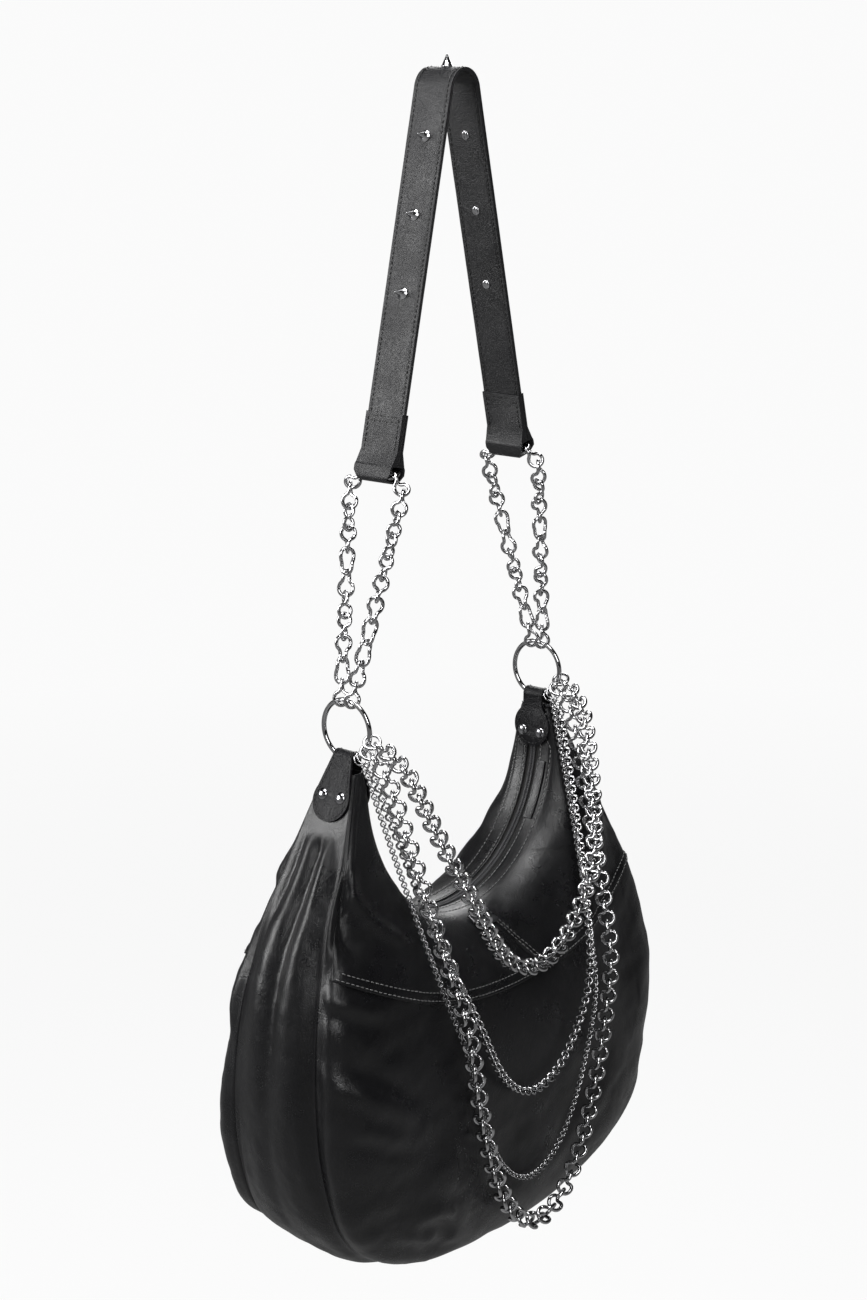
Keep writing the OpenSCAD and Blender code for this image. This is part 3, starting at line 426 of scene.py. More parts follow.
line_p, line_n, line_s = strap_line()
for word, sign in (("outer", 1), ("inner", -1)):
    profile = ply_profile(sign)
    n, m = len(line_p), len(profile)
    v = []
    for p, out, s in zip(line_p, line_n, line_s):
        for y, h in profile:
            uneven = 0.12 * noise.noise(Vector((s * 0.045, y * 0.05, sign * 3.0)))
            v.append(p + out * (h + uneven * (abs(h) > PLY * 0.6)) + [0, y, 0])
    f = grid_faces(n, m, close_j=True, flip=True)
    f += [tuple(range(m)), tuple((n - 1) * m + k for k in range(m))[::-1]]
    part = Parts()
    part.add(v, f)
    part.make("strap_%s_leather" % word, "strap", M_STRAP, "strap_leather", "strap_%s_ply" % word)

rows = Parts()
inside = (line_s > 3) & (line_s < line_s[-1] - 3)
for y in (-STRAP_W / 2 + EDGE_ROW, STRAP_W / 2 - EDGE_ROW):
    for h in (1, -1):
        base = line_p + line_n * (h * (PLY - GROOVE)) + [0, y, 0]
        stitch_row(rows, base[inside], line_n[inside] * h, r=STRAP_THREAD)

# Stitches on the end loops' tails: down both sides and in two rows across the upper edge
TAIL_FOOT, TAIL_TOP, TAIL_OUT = -END_D + 2, -END_D + 37, 2 * PLY + 0.02
TAIL_SIDE, TAIL_END, TAIL_GAP = 15.8, 14.5, 4
TAIL_ROWS = [((y, TAIL_FOOT), (y, TAIL_TOP)) for y in (-TAIL_SIDE, TAIL_SIDE)]
TAIL_ROWS += [((-TAIL_END, z), (TAIL_END, z)) for z in (TAIL_TOP, TAIL_TOP - TAIL_GAP)]
for side in (-1, 1):
    for h in (1, -1):
        for start, end in TAIL_ROWS:
            q = in_leg(np.linspace((h * TAIL_OUT, *start), (h * TAIL_OUT, *end), 12), side)
            stitch_row(rows, q, np.tile(h * leg_out(side), (12, 1)), r=STRAP_THREAD)
rows.make("strap_stitches", "strap", M_THREAD, "strap_leather")


def rounded(name, node, body, mat, width):
    """A copy of a hard CAD piece with softened edges, which stands for it."""
    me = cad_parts[node].data.copy()
    me.name = name
    me.materials.clear()
    me.materials.append(mat)
    bm = bmesh.new()
    bm.from_mesh(me)
    bmesh.ops.remove_doubles(bm, verts=bm.verts, dist=2e-6)
    bmesh.ops.dissolve_limit(bm, angle_limit=math.radians(0.6), verts=bm.verts, edges=bm.edges)
    for f in bm.faces:
        f.smooth = True
    bm.to_mesh(me)
    bm.free()
    ob = bpy.data.objects.new(name, me)
    scene.collection.objects.link(ob)
    edges = ob.modifiers.new("edges", "BEVEL")
    edges.width, edges.segments = width * 0.001, 3
    edges.limit_method, edges.angle_limit = "ANGLE", math.radians(28)
    edges.harden_normals = True
    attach(ob, body)
    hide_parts(node)


for side in ("left", "right"):
    rounded(side + "_end_loop_leather", side + "_end_loop", "strap", M_STRAP, 0.45)
    rounded(side + "_tab_leather", side + "_ring_tab", "bag", M_TAB, 0.5)
    rounded(side + "_ear_strip_leather", side + "_ear_strip", "bag", M_TRIM, 0.5)
rounded("bare_plate", "badge_plate", "bag", M_BADGE, 0.35)
rounded("zip_slider_body", "zip_slider", "slider", M_ZIP, 0.25)
rounded("zip_pull_tab", "zip_puller", "puller", M_ZIP, 0.3)
rounded("zip_stops", "zip_end_stops", "bag", M_ZIP, 0.2)

# Spikes and their screws, one at the crown and three down each leg
SPIKE_STEP, SPIKE_SIDES, SLOT_HALF, SLOT_FLOOR, SLOT_DEEP = 62.0, 36, 0.55, 1.35, 0.7
CONE = [(0, 0), (4.75, 0), (4.75, 0.5), (4.62, 0.75), (4.2, 0.9),
        (2.3, 5.4), (0.62, 9.3), (0.42, 9.7), (0.2, 9.92), (0, 10)]
HEAD = [(0, 1.6), (1.5, 1.58), (2.8, 1.4), (3.45, 1.0), (3.72, 0.5), (3.75, 0.1), (3.6, 0), (1.5, 0)]
SHANK = [(1.5, PLY + 3.4), (0, PLY + 3.4)]
spike_v, spike_f = lathe([(r, PLY + h) for r, h in CONE], SPIKE_SIDES)
screw_v, screw_f = lathe([(r, -PLY - h) for r, h in HEAD] + SHANK, SPIKE_SIDES)
in_slot = (np.abs(screw_v[:, 0]) < SLOT_HALF) & (screw_v[:, 2] < -PLY - SLOT_FLOOR)
screw_v[in_slot, 2] += SLOT_DEEP
arc_len = MID_R * (math.pi / 2 - LEG)
places = [([0, 0, -CROWN_R + MID_R], [0, 0, 1], [1, 0, 0])]
for k in (1, 2, 3):
    for side in (-1, 1):
        places.append((in_leg([0, 0, arc_len - k * SPIKE_STEP], side), leg_out(side), [0, 1, 0]))
spikes, screws = Parts(), Parts()
for place, out, across in places:
    spikes.add(placed(spike_v, place, across, out), spike_f)
    screws.add(placed(screw_v, place, across, out), screw_f)
spikes.make("cone_spikes", "strap", M_SPIKE, "spike_chrome", "strap_spikes")
screws.make("screw_heads", "strap", M_SPIKE, "spike_chrome", "spike_screws")


# Chains

def link_curve(l, w, d, twist, n_end=12, n_side=5):
    """Centre line of a twisted curb link that lies along X."""
    b, s = (w - d) / 2, (l - w) / 2
    y, rise = b * cos_deg(twist), b * sin_deg(twist)
    turn = 2 * math.atan(rise / s)
    r = s / math.sin(turn)
    a = np.linspace(-math.pi / 2, math.pi / 2, n_end, endpoint=False)
    t = np.linspace(0, turn, n_side + 1)
    half = np.concatenate([
        points(s + b * np.cos(a), y * np.sin(a), rise * np.sin(a)),
        points(s - r * np.sin(t[:-1]), y, rise - r + r * np.cos(t[:-1])),
        points(-s + r * np.sin(t[:0:-1]), y, r - rise - r * np.cos(t[:0:-1])),
    ])
    return np.concatenate([half, half * [-1, -1, 1]])


def add_link(parts, place, curve, wire, sides, roll=0.0):
    """One link at a point, direction and normal, rolled about its length."""
    p, u, n = place
    u, n = unit(u), unit(n)
    w = np.cross(n, u)
    c, s = math.cos(roll), math.sin(roll)
    out = curve @ np.array([u, w * c + n * s, n * c - w * s])
    parts.add(*tube(p + out, wire / 2, sides, closed=True, ref=out))


def strap_link_at(i):
    """How far link i is out of the tunnel's middle along Y and up, and its turn downwards."""
    if i == 0:
        return sc_pitch / 2, 0.0, 0.0
    if i == 1:
        return sc_step + sc_pitch / 2 * cos_deg(CORNER), -sc_pitch / 2 * sin_deg(CORNER), CORNER
    far, down = (i - 1.5) * sc_pitch, 90 + slope
    return turn_y + far * cos_deg(down), -sc_step * sin_deg(CORNER) - far * sin_deg(down), down


# Half turns by which each strand twists on its way down, in the way its links allow
HALF_TURNS = {("left", -1): 2, ("left", 1): 1, ("right", -1): 2, ("right", 1): 2}
LAST_LINK, FREE_LINK = SC_LINKS + 1, 2
strap_curve = link_curve(SC_L, SC_W, SC_D, SC_TWIST)
for name, mirror in (("right", [1, 1, 1]), ("left", [-1, -1, 1])):
    parts = Parts()
    for side in (-1, 1):
        for i in range(LAST_LINK + 1):
            y, z, turn = strap_link_at(i)
            p = in_leg([0, side * y, z - TUNNEL_D])
            u = turned([0, side * cos_deg(turn), -sin_deg(turn)], LEG)
            n = turned([0, side * sin_deg(turn), cos_deg(turn)], LEG)
            share = max(0, i - FREE_LINK) / (LAST_LINK - FREE_LINK)
            roll = -math.pi * HALF_TURNS[name, side] * share
            add_link(parts, np.array([p, u, n]) * mirror, strap_curve, SC_D, 12, roll)
    parts.make(name + "_strap_links", name + "_chain", M_CHROME, "chain_chrome", name + "_strap_chain")

for name, side in (("right", 1), ("left", -1)):
    part = Parts()
    part.add(*ring_wire([side * RING_X, 0, RING_Z], RING_CR, [0, 1, 0], [0, 0, 1], RING_WR, 128, 20))
    part.make(name + "_o_ring_wire", name + "_o_ring", M_RING, "ring_chrome", name + "_ring")


def solved(f, target, low, high):
    """Where the falling function f reaches the target, by halving."""
    for _ in range(40):
        mid = (low + high) / 2
        if f(mid) > target:
            low = mid
        else:
            high = mid
    return (low + high) / 2


def chain_facts(length, wire, jump_r, jump_d, drop):
    """Pitch, the jump ring's place, link count, half length, and the catenary's size and sag."""
    pitch = length - 2 * wire - CHAIN_CLEAR
    jump_at = jump_r - RING_WR - jump_d / 2 - JUMP_CLEAR
    first = jump_at + jump_r - jump_d / 2 - wire / 2 - CHAIN_CLEAR + (length - wire) / 2
    span = RING_X / 12, RING_X * 2
    m = solved(lambda m: m * (math.cosh(RING_X / m) - 1), drop, *span)
    count = 2 * round((m * math.sinh(RING_X / m) - first) / pitch + 0.5)
    half = first + (count - 1) * pitch / 2
    m = solved(lambda m: m * math.sinh(RING_X / m), half, *span)
    return pitch, jump_at, count, half, m, m * (math.cosh(RING_X / m) - 1)


def guide_at(guide, v):
    """Distance out of the front, height and lean at the length v down a drape's guide. It leaves
    the ring at the lean top, bends to the lean low and then to hang straight before the bag."""
    ring_ang, top, bend_r, low, foot_r, gap = guide
    top, low = math.radians(top), math.radians(low)

    def arc(y, z, r, a, b):
        return y + r * (math.cos(b) - math.cos(a)), z - r * (math.sin(a) - math.sin(b))

    y0, z0 = RING_CR * cos_deg(ring_ang), -RING_CR * sin_deg(ring_ang)
    y1, z1 = arc(y0, z0, bend_r, top, low)
    front = DEPTH + gap
    straight = (front - y1 - foot_r * (1 - math.cos(low))) / math.sin(low)
    y2, z2 = y1 + straight * math.sin(low), z1 - straight * math.cos(low)
    if v < bend_r * (top - low):
        lean = top - v / bend_r
        return *arc(y0, z0, bend_r, top, lean), lean
    v -= bend_r * (top - low)
    if v < straight:
        return y1 + v * math.sin(low), z1 - v * math.cos(low), low
    v -= straight
    if v < foot_r * low:
        lean = low - v / foot_r
        return *arc(y2, z2, foot_r, low, lean), lean
    return front, z2 - foot_r * math.sin(low) - (v - foot_r * low), 0.0


def drape_place(m, sag, guide, s, reach):
    """Point, direction and normal at the length s from a draped chain's lowest point."""
    def on_guide(q):
        return guide_at(guide, sag + m - math.hypot(m, q))

    def point(q):
        out, up, _ = on_guide(q)
        return np.array([m * math.asinh(q / m), -out, RING_Z + up])

    p0, p1 = point(s - reach), point(s + reach)
    u = unit(p1 - p0)
    lean = on_guide(s)[2]
    n = np.array([0, -math.cos(lean), math.sin(lean)])
    return (p0 + p1) / 2, u, unit(n - u * n.dot(u))


# Link length, width, wire and twist; jump ring's radius and wire; drop; guide; fineness of the mesh
DRAPES = {
    "fine": ((8.9, 5.4, 1.3, 38.0), (5.2, 1.4), 398.0, (56, 29, 86, 18.5, 130, 2.6), 8, 8, 3),
    "medium": ((12.6, 8.2, 1.9, 38.0), (5.6, 1.6), 322.0, (46, 43, 50, 19, 155, 6), 10, 9, 4),
    "long": ((24.0, 16.5, 3.2, 36.0), (6.6, 2.4), 452.0, (32, 60, 52, 17.5, 140, 11), 12, 12, 5),
    "heavy": ((21.0, 16.0, 3.4, 38.0), (6.6, 2.4), 240.0, (12, 75, 57, 20, 120, 5), 14, 13, 5),
}
ROLL, JUMP_TILT = 0.06, math.radians(32)
for name, (size, (jump_r, jump_d), drop, guide, sides, n_end, n_side) in DRAPES.items():
    pitch, jump_at, count, half, m, sag = chain_facts(size[0], size[2], jump_r, jump_d, drop)
    curve = link_curve(*size, n_end, n_side)
    links, jumps = Parts(), Parts()
    for i in range(count):
        place = drape_place(m, sag, guide, (i - (count - 1) / 2) * pitch, pitch / 2)
        roll = rng.uniform(-ROLL, ROLL) if 2 < i < count - 3 else 0.0
        add_link(links, place, curve, size[2], sides, roll)
    links.make("drape_%s_links" % name, name + "_drape", M_CHROME, "chain_chrome", "drape_" + name)
    for k in (-1, 1):
        p, u, n = drape_place(m, sag, guide, k * (half - jump_at), jump_d / 2)
        tilted = np.cross(n, u) * math.cos(JUMP_TILT) - k * n * math.sin(JUMP_TILT)
        jumps.add(*ring_wire(p, jump_r, u, tilted, jump_d / 2, 48, 14))
    jumps.make("drape_%s_jump_rings" % name, name + "_drape", M_CHROME, "chain_chrome",
               "jump_rings_" + name)

# The body's sections. Each has the zip's angle, the outline's x and z, the half depth and the
# gusset's half width. They are shares of the greatest ones but for the angle
TAB_HALF, TAB_CLEAR, TAB_LEAN, INNER_LEAN = 10.0, 1.4, math.radians(24), math.radians(2)
ring_sag = RING_CR - math.sqrt(RING_CR ** 2 - TAB_HALF ** 2)
TAB_BORE = ring_sag / 2 + RING_WR + TAB_CLEAR
TAB_Z = RING_Z - RING_CR + ring_sag / 2
EAR_TOP = TAB_Z - ZIP_Z - TAB_BORE - 3 * PLY
EAR_HALF, EAR_LOW, EAR_LOW_DEPTH, EAR_LOW_GUSSET = 15.0, -0.044, 0.27, 0.48
SHARES = [
    (12, 0.774, -0.126, 0.37, 0.58), (24, 0.883, -0.235, 0.48, 0.71), (36, 0.964, -0.369, 0.60, 0.83),
    (48, 1.000, -0.527, 0.74, 0.92), (58, 0.982, -0.690, 0.86, 0.98), (67, 0.885, -0.835, 0.94, 1.00),
    (75, 0.680, -0.932, 0.99, 1.00), (82.5, 0.360, -0.985, 1.00, 1.00), (90, 0.000, -1.000, 1.00, 1.00),
]


def ear_x(z):
    leaning = (TAB_Z - ZIP_Z - z) * math.tan(TAB_LEAN)
    return RING_X + (TAB_BORE - SEAT_GAP) / math.cos(TAB_LEAN) + leaning


ear_low = EAR_LOW * BAG_H
STATIONS = [
    np.array([-math.degrees(EAR_TOP / ZIP_R), ear_x(EAR_TOP), EAR_TOP, EAR_HALF, EAR_HALF]),
    np.array([0, ear_x(ear_low), ear_low, EAR_LOW_DEPTH * DEPTH, EAR_LOW_GUSSET * GUSSET]),
] + [np.array([a, x * HALF, z * BAG_H, d * DEPTH, w * GUSSET]) for a, x, z, d, w in SHARES]


def knot(i):
    """Station i of the left half, carried on past both of its ends."""
    if i < 0:
        return STATIONS[0]
    if i < len(STATIONS):
        return STATIONS[i]
    s = STATIONS[2 * len(STATIONS) - 2 - i]
    return np.array([180 - s[0], -s[1], *s[2:]])


def half_station(u):
    """A section of the left half at u stations from the ear, on a smooth curve through them."""
    i = int(math.floor(u))
    f = u - i
    if i == 0:
        return knot(0) * (1 - f) + knot(1) * f
    weights = np.array([
        -f + 2 * f ** 2 - f ** 3, 2 - 5 * f ** 2 + 3 * f ** 3,
        f + 4 * f ** 2 - 3 * f ** 3, f ** 3 - f ** 2,
    ])
    return weights @ [knot(i + k) for k in (-1, 0, 1, 2)] / 2


def station(g):
    """A section at g half stations from the left ear's top, with its side, -1 left or 1 right."""
    half = float(len(STATIONS) - 1)
    u, side = g / 2.0, -1
    if u > half:
        u, side = max(0.0, 2 * half - u), 1
    s = half_station(min(u, half - 1e-9))
    return np.array([s[0], side * s[1], *s[2:], side])


def zip_at(s):
    """The mouth's x and z in a section, measured from the zip's centre."""
    a = math.radians(s[0])
    if a < 0:
        return np.array([s[5] * ZIP_R, -a * ZIP_R])
    return np.array([s[5] * ZIP_R * math.cos(a), -ZIP_R * math.sin(a)])


def seam_share(s):
    """The share of a section at which the yoke seam crosses it."""
    a, o = zip_at(s), s[1:3]

    def over_seam(share):
        x, z = a + (o - a) * share
        return z + SEAM_DROP - SEAM_RISE * (x / HALF) ** 2

    return min(SEAM_TOP_SHARE, solved(over_seam, 0.0, 0.0, 1.0))


def rim_y(s):
    return min(MOUTH + RIM, RIM_SHARE * s[3])


def edge_y(s):
    """Half the mouth's width, which closes at the zip's ends."""
    return EAR_GAP + (MOUTH - EAR_GAP) * min(1.0, max(0.0, s[0] / ZIP_END))


def skin(s, t):
    """Points of the bare front skin of one section at the shares t of the way to its outline."""
    swell_share, round_share = 0.5, 0.72
    a, o, yr = zip_at(s), s[1:3], rim_y(s)
    swell = np.sqrt(1 - (1 - np.minimum(1, t / swell_share)) ** 2)
    rounding = np.maximum(0, (t - round_share) / (1 - round_share))
    rounding = 1 - np.sqrt(np.maximum(0, 1 - rounding ** 2))
    y = yr + (s[3] - yr) * swell - (s[3] - s[4]) * rounding
    p = a + (o - a) * t[:, None]
    return points(p[:, 0], -y, ZIP_Z + p[:, 1])


# Waves and folds of the leather

class Waves:
    """A smooth random field made of plane waves."""

    def __init__(self, seed, wave, count=30, stretch=(1, 1, 1)):
        r = np.random.default_rng(seed)
        k = unit(r.normal(size=(count, 3))) * (2 * np.pi / wave) * r.uniform(0.55, 1.45, (count, 1))
        self.k = k / np.asarray(stretch)
        self.phase = r.uniform(0, 2 * np.pi, count)
        self.gain = math.sqrt(2 / count)

    def __call__(self, p):
        return np.cos(p @ self.k.T + self.phase).sum(-1) * self.gain


def fold(x, z, pts, amp, wide, dip=0.0, off=1.5):
    """A ridge, or a hollow, along a line of (x, z) points. dip is the height of a second one
    beside it, off widths to its left."""
    pts = np.asarray(pts, float)
    s = lengths(pts)
    best, sign, along = np.full(x.shape, 1e9), np.ones(x.shape), np.zeros(x.shape)
    for a, b, start in zip(pts, pts[1:], s):
        size = np.linalg.norm(b - a)
        d = (b - a) / size
        u = np.clip((x - a[0]) * d[0] + (z - a[1]) * d[1], 0, size)
        ex, ez = x - a[0] - u * d[0], z - a[1] - u * d[1]
        dist = np.hypot(ex, ez)
        near = dist < best
        best = np.where(near, dist, best)
        sign = np.where(near, np.sign(d[0] * ez - d[1] * ex), sign)
        along = np.where(near, start + u, along)
    end = 0.3 * s[-1]
    fade = 0.12 + 0.88 * smooth(along / end) * smooth((s[-1] - along) / end)
    out = amp * bell(best, wide) + dip * bell(best * sign - off * wide, 0.9 * wide)
    return out * fade * (best < 5 * wide)


# Each fold's line of (x, z) points, height and width, then its dip and off where it has them
FRONT_FOLDS = [
    ([(-214, -701), (-190, -713), (-160, -728)], 3.2, 8, -2.0, -1.6),
    ([(-219, -768), (-196, -783), (-170, -801), (-138, -826)], 4.2, 11, -3.0),
    ([(-210, -808), (-180, -820), (-150, -836)], 2.4, 8, -1.5, -1.5),
    ([(-146, -908), (-120, -908), (-96, -918), (-78, -944)], 4.0, 9, -3.0, -1.6),
    ([(-170, -925), (-129, -945), (-70, -966)], -3.4, 7, 1.5, 1.6),
    ([(-120, -935), (-95, -950)], -3.0, 9),
    ([(40, -790), (25, -880), (-25, -935)], 0.8, 26, -2.5, 1.4),
    ([(120, -760), (135, -850), (110, -925)], 1.6, 18, -2.0, -1.4),
    ([(-60, -760), (-30, -800), (10, -812)], -1.6, 18),
    ([(-150, -860), (-110, -870), (-60, -862)], 1.5, 16, -1.5),
    ([(60, -930), (110, -905), (150, -860)], -2.2, 12, 1.2),
]
BACK_FOLDS = [
    ([(-196, -778), (-170, -792), (-130, -800)], 2.4, 13, -2.0),
    ([(-188, -856), (-150, -880), (-100, -890)], 2.4, 13, -2.0),
    ([(-60, -740), (0, -752), (70, -738)], -2.5, 12, 1.5),
    ([(30, -800), (60, -860), (50, -930)], 3.0, 17, -2.4),
    ([(198, -770), (170, -790), (120, -812)], 2.6, 13, -2.0, -1.5),
    ([(190, -866), (150, -890), (90, -900)], 2.2, 13, -1.6, -1.5),
    ([(-40, -900), (10, -940), (90, -955)], 2.8, 12, -2.2, 1.6),
]
YOKE_FOLDS = [
    ([(-151, -590), (-160, -612), (-163, -634), (-154, -652), (-138, -668), (-112, -692)], 5.0, 6.5),
    ([(-168, -600), (-177, -634), (-180, -664), (-168, -686)], -5.0, 8),
    ([(-128, -640), (-112, -662), (-84, -684)], -1.6, 8),
    ([(168, -602), (178, -636), (184, -672)], -3.5, 9),
    ([(150, -596), (162, -630), (160, -660), (130, -690)], 2.4, 8),
    ([(-70, -712), (-30, -722), (10, -724)], -1.2, 10),
    ([(90, -690), (110, -715), (96, -738)], 1.6, 11, -1.2),
]
CENTRE_SEAM = np.array([(4, -690), (5.5, -697), (9, -704), (17, -716), (33, -738), (49, -757)], float)
BACK_SEAM = np.array([(0, -690), (0, -750)], float)
PLATE_HALF, PLATE_HIGH, PLATE_Z = 26, 18, -700

w_long, w_mid, w_small = Waves(3, 120), Waves(5, 44, 36), Waves(8, 15, 40)
w_back, w_dir = Waves(21, 105), Waves(14, 34, 30, (1.8, 1, 0.8))


def relief(p, side):
    """Outward displacement of the skin away from its seams. side is -1 in front, 1 behind."""
    x, z = p[..., 0], p[..., 2]
    wave, height, folds, yoke_gain = w_back, 1.3, BACK_FOLDS, 0.8
    if side < 0:
        wave, height, folds, yoke_gain = w_long, 1.9, FRONT_FOLDS, 1.0
    d = height * wave(p * [1, side, 1]) + 0.38 * w_mid(p) + 0.12 * w_small(p) + 0.25 * w_dir(p)
    for line, amp, *rest in folds:
        d = d + fold(x, z, line, amp, *rest)
    for line, amp, *rest in YOKE_FOLDS:
        d = d + fold(x, z, line, amp * yoke_gain, *rest)
    d = d * below(z, -590, 45)
    if side < 0:
        # Under the draped chains the leather keeps behind them, and under the plate it is flat
        chains = above(x, -105, 40) * below(x, 175, 30) * below(z, -660, 40)
        knee = 1.2
        bend = 0.8 - 0.55 * chains - knee
        soft = np.where(d > bend, bend + knee * np.tanh((d - bend) / knee), d)
        d = np.where(chains > 0.02, soft - chains, d)
        plate = bell((x / PLATE_HALF) ** 2 + ((z - PLATE_Z) / PLATE_HIGH) ** 2, 1)
        d = d * (1 - plate) - 0.3 * plate
    return d


# The bare front skin from the mouth to the gusset seam, then the gusset, as fine grids.
# Past the right ear's top the last columns all repeat its section
COLS_END = 4 * len(STATIONS)
COLS = np.linspace(0, COLS_END, COLS_END * 10 + 1)
SECTIONS = [station(g) for g in COLS]
SEAM_SHARES = np.array([seam_share(s) for s in SECTIONS])
SEAM_FREE = SEAM_SHARES < 0.93
YOKE_N, PANEL_N, GUSSET_N, RIM_N, LAP, LAP_ROWS = 72, 110, 64, 14, 0.045, 4


def normals_of(p):
    return unit(np.cross(np.gradient(p, axis=0), np.gradient(p, axis=1)) + 1e-12)


def outward(p, towards):
    """The normals of a grid, on the side that its middle turns to."""
    n = normals_of(p)
    mid = n[n.shape[0] // 2, n.shape[1] // 2]
    return n if mid.dot(towards) > 0 else -n


def along_rows(p):
    """Distance along each column from its first row."""
    seg = np.linalg.norm(np.diff(p, axis=1), axis=2)
    return np.concatenate([np.zeros((len(p), 1)), np.cumsum(seg, axis=1)], axis=1)


yoke_w = np.linspace(0, 1, YOKE_N) ** 1.6
panel_w = np.linspace(-LAP, 1, PANEL_N)
panel_w = np.where(panel_w < 0, panel_w, 1 - (1 - panel_w) ** 1.25)
base_yoke = np.stack([skin(s, t * yoke_w) for s, t in zip(SECTIONS, SEAM_SHARES)])
base_panel = np.stack([skin(s, t + (1 - t) * panel_w) for s, t in zip(SECTIONS, SEAM_SHARES)])
gusset_w = np.linspace(-1, 1, GUSSET_N)
gusset_w = np.sign(gusset_w) * (1 - (1 - np.abs(gusset_w)) ** 1.2)
base_gusset = []
for s in SECTIONS:
    bulge = 4.0 * min(1, max(0, s[0] / 36)) * (1 - gusset_w ** 2)
    o = s[1:3] + unit(s[1:3] - zip_at(s)) * bulge[:, None]
    base_gusset.append(points(o[:, 0], gusset_w * s[4], ZIP_Z + o[:, 1]))
base_gusset = np.array(base_gusset)
n_yoke, n_panel = outward(base_yoke, [0, -1, 0]), outward(base_panel, [0, -1, 0])
n_gusset = outward(base_gusset, [0, 0, -1])

# The gusset seam draws the leather in along seam_dir, with a light pucker between its stitches
seam_dir = -unit(n_panel[:, -1] + n_gusset[:, 0])
seam_s, seam_z = lengths(base_panel[:, -1]), base_panel[:, -1, 2]
seam_pull = 1.2 + 4.8 * below(seam_z, -640, 60) * above(seam_z, -965, 90) + 1.4 * below(seam_z, -975, 10)
seam_pull = seam_pull * below(seam_z, -586, 40)
pucker = 0.12 * np.sin(seam_s * 2 * np.pi / 10.5 + 2.0 * np.sin(seam_s / 37.0))


def seam_draw(side):
    """The way that the gusset seam draws each column's leather in front (-1) or behind (1)."""
    gain = 1.0 if side < 0 else 0.85
    return (gain * seam_pull)[:, None, None] * (seam_dir * [1, -side, 1])[:, None, :]


def front_skins(side):
    """Displaced grids of yoke and panel in front (-1) or behind (1), and the yoke's distances."""
    mirror, draw = [1, -side, 1], seam_draw(side)
    yoke, panel = base_yoke * mirror, base_panel * mirror
    down, panel_down = along_rows(yoke), along_rows(panel)
    to_end = panel_down[:, -1:] - panel_down
    # Distance from each yoke point to the gusset seam, for the short sections at the ears
    to_seam = down[:, -1:] - down + panel_down[:, -1:] - panel_down[:, LAP_ROWS:LAP_ROWS + 1]
    lift = relief(yoke, side) * (1 - bell(to_seam, 7.0)) * smooth(down / 26)
    out_yoke = yoke + n_yoke * mirror * lift[..., None] + draw * bell(to_seam, 11.0)[..., None]
    quiet = 1 - bell(to_end, 7.0)
    roll = (1.4 if side > 0 else 0.84) * bell(to_end - 26, 13.0) * below(panel[..., 2], -690, 40)
    lift = relief(panel, side) * quiet + roll + pucker[:, None] * bell(to_end, 8.0) * quiet
    out_panel = panel + n_panel * mirror * lift[..., None] + draw * bell(to_end, 10.0)[..., None]
    return out_yoke, out_panel, down


# Pleats under the tabs, each with its place across the gusset, height and width
PLEATS = [(-0.42, 2.4, 0.2), (0.38, 2.0, 0.2), (-0.02, -2.6, 0.15), (0.74, -1.2, 0.12)]


def gusset_skin():
    """The gusset's grid with pleats that run down and spread, a soft belly and small waves."""
    p, z = base_gusset, base_gusset[..., 2]
    to_front = along_rows(p)
    to_back = to_front[:, -1:] - to_front
    pleat = 1.25 * sum(high * bell(gusset_w - mid, wide) for mid, high, wide in PLEATS)
    pleat = pleat * below(z, -590, 16) * (1 - 0.6 * below(z, -640, 200)) * above(z, -965, 90)
    belly = 3.0 * (1 - gusset_w ** 2) * below(z, -640, 90) * (0.4 + 0.6 * above(z, -965, 40))
    waves = 1.4 * w_back(p * [1, 1, 0.6]) + 0.35 * w_mid(p * [1, 1.6, 0.5]) + 0.12 * w_small(p)
    lift = (waves * below(z, -592, 30) + pleat + belly) * (1 - bell(np.minimum(to_front, to_back), 7.0))
    out = p + n_gusset * lift[..., None]
    for side, dist in ((-1, to_front), (1, to_back)):
        out = out + seam_draw(side) * bell(dist, 8.0)[..., None]
    return out


def closed_sheet(name, outer, inner, mat, slot, *replaces):
    """A sheet of the bag between two grids of points, closed round its edges."""
    n, m = outer.shape[:2]
    k = n * m
    top = grid_faces(n, m)
    ids = np.arange(k).reshape(n, m)
    rim = np.concatenate([ids[:-1, 0], ids[-1, :-1], ids[:0:-1, -1], ids[0, :0:-1]]).tolist()
    f = top + [tuple(i + k for i in face[::-1]) for face in top]
    f += [(a, b, b + k, a + k) for a, b in zip(rim, rim[1:] + rim[:1])]
    part = Parts()
    part.add(np.concatenate([outer.reshape(-1, 3), inner.reshape(-1, 3)]), f)
    ob = part.make(name, "bag", mat, slot, *replaces)
    bm = bmesh.new()
    bm.from_mesh(ob.data)
    bmesh.ops.recalc_face_normals(bm, faces=bm.faces)
    bm.to_mesh(ob.data)
    bm.free()


# Distances of the rows of stitches from the yoke seam and from the mouth, and the rim's lip
YOKE_ROWS, RIM_ROWS = (2.6, 9.6), (3.0, 13.5)
LIP_HIGH, LIP_SHARE, YOKE_THICK, SHEET_THICK = 0.55, 0.12, 1.3, 1.5


def rim_band(side, start):
    """The rim band from the mouth's edge out to the skin's first points, a little proud of it."""
    u = np.linspace(0, 1, RIM_N)
    lip = np.sqrt(1 - np.maximum(0, (LIP_SHARE - u) / LIP_SHARE) ** 2) - 0.5
    rim = []
    for s in SECTIONS:
        mouth = zip_at(s)
        p = mouth - LIP_HIGH * unit(s[1:3] - mouth) * lip[:, None]
        y = edge_y(s) + (rim_y(s) - edge_y(s)) * u
        rim.append(points(p[:, 0], side * y, ZIP_Z + p[:, 1]))
    rim = np.array(rim)
    return rim + (start - rim[:, -1:]) * smooth(u)[:, None]


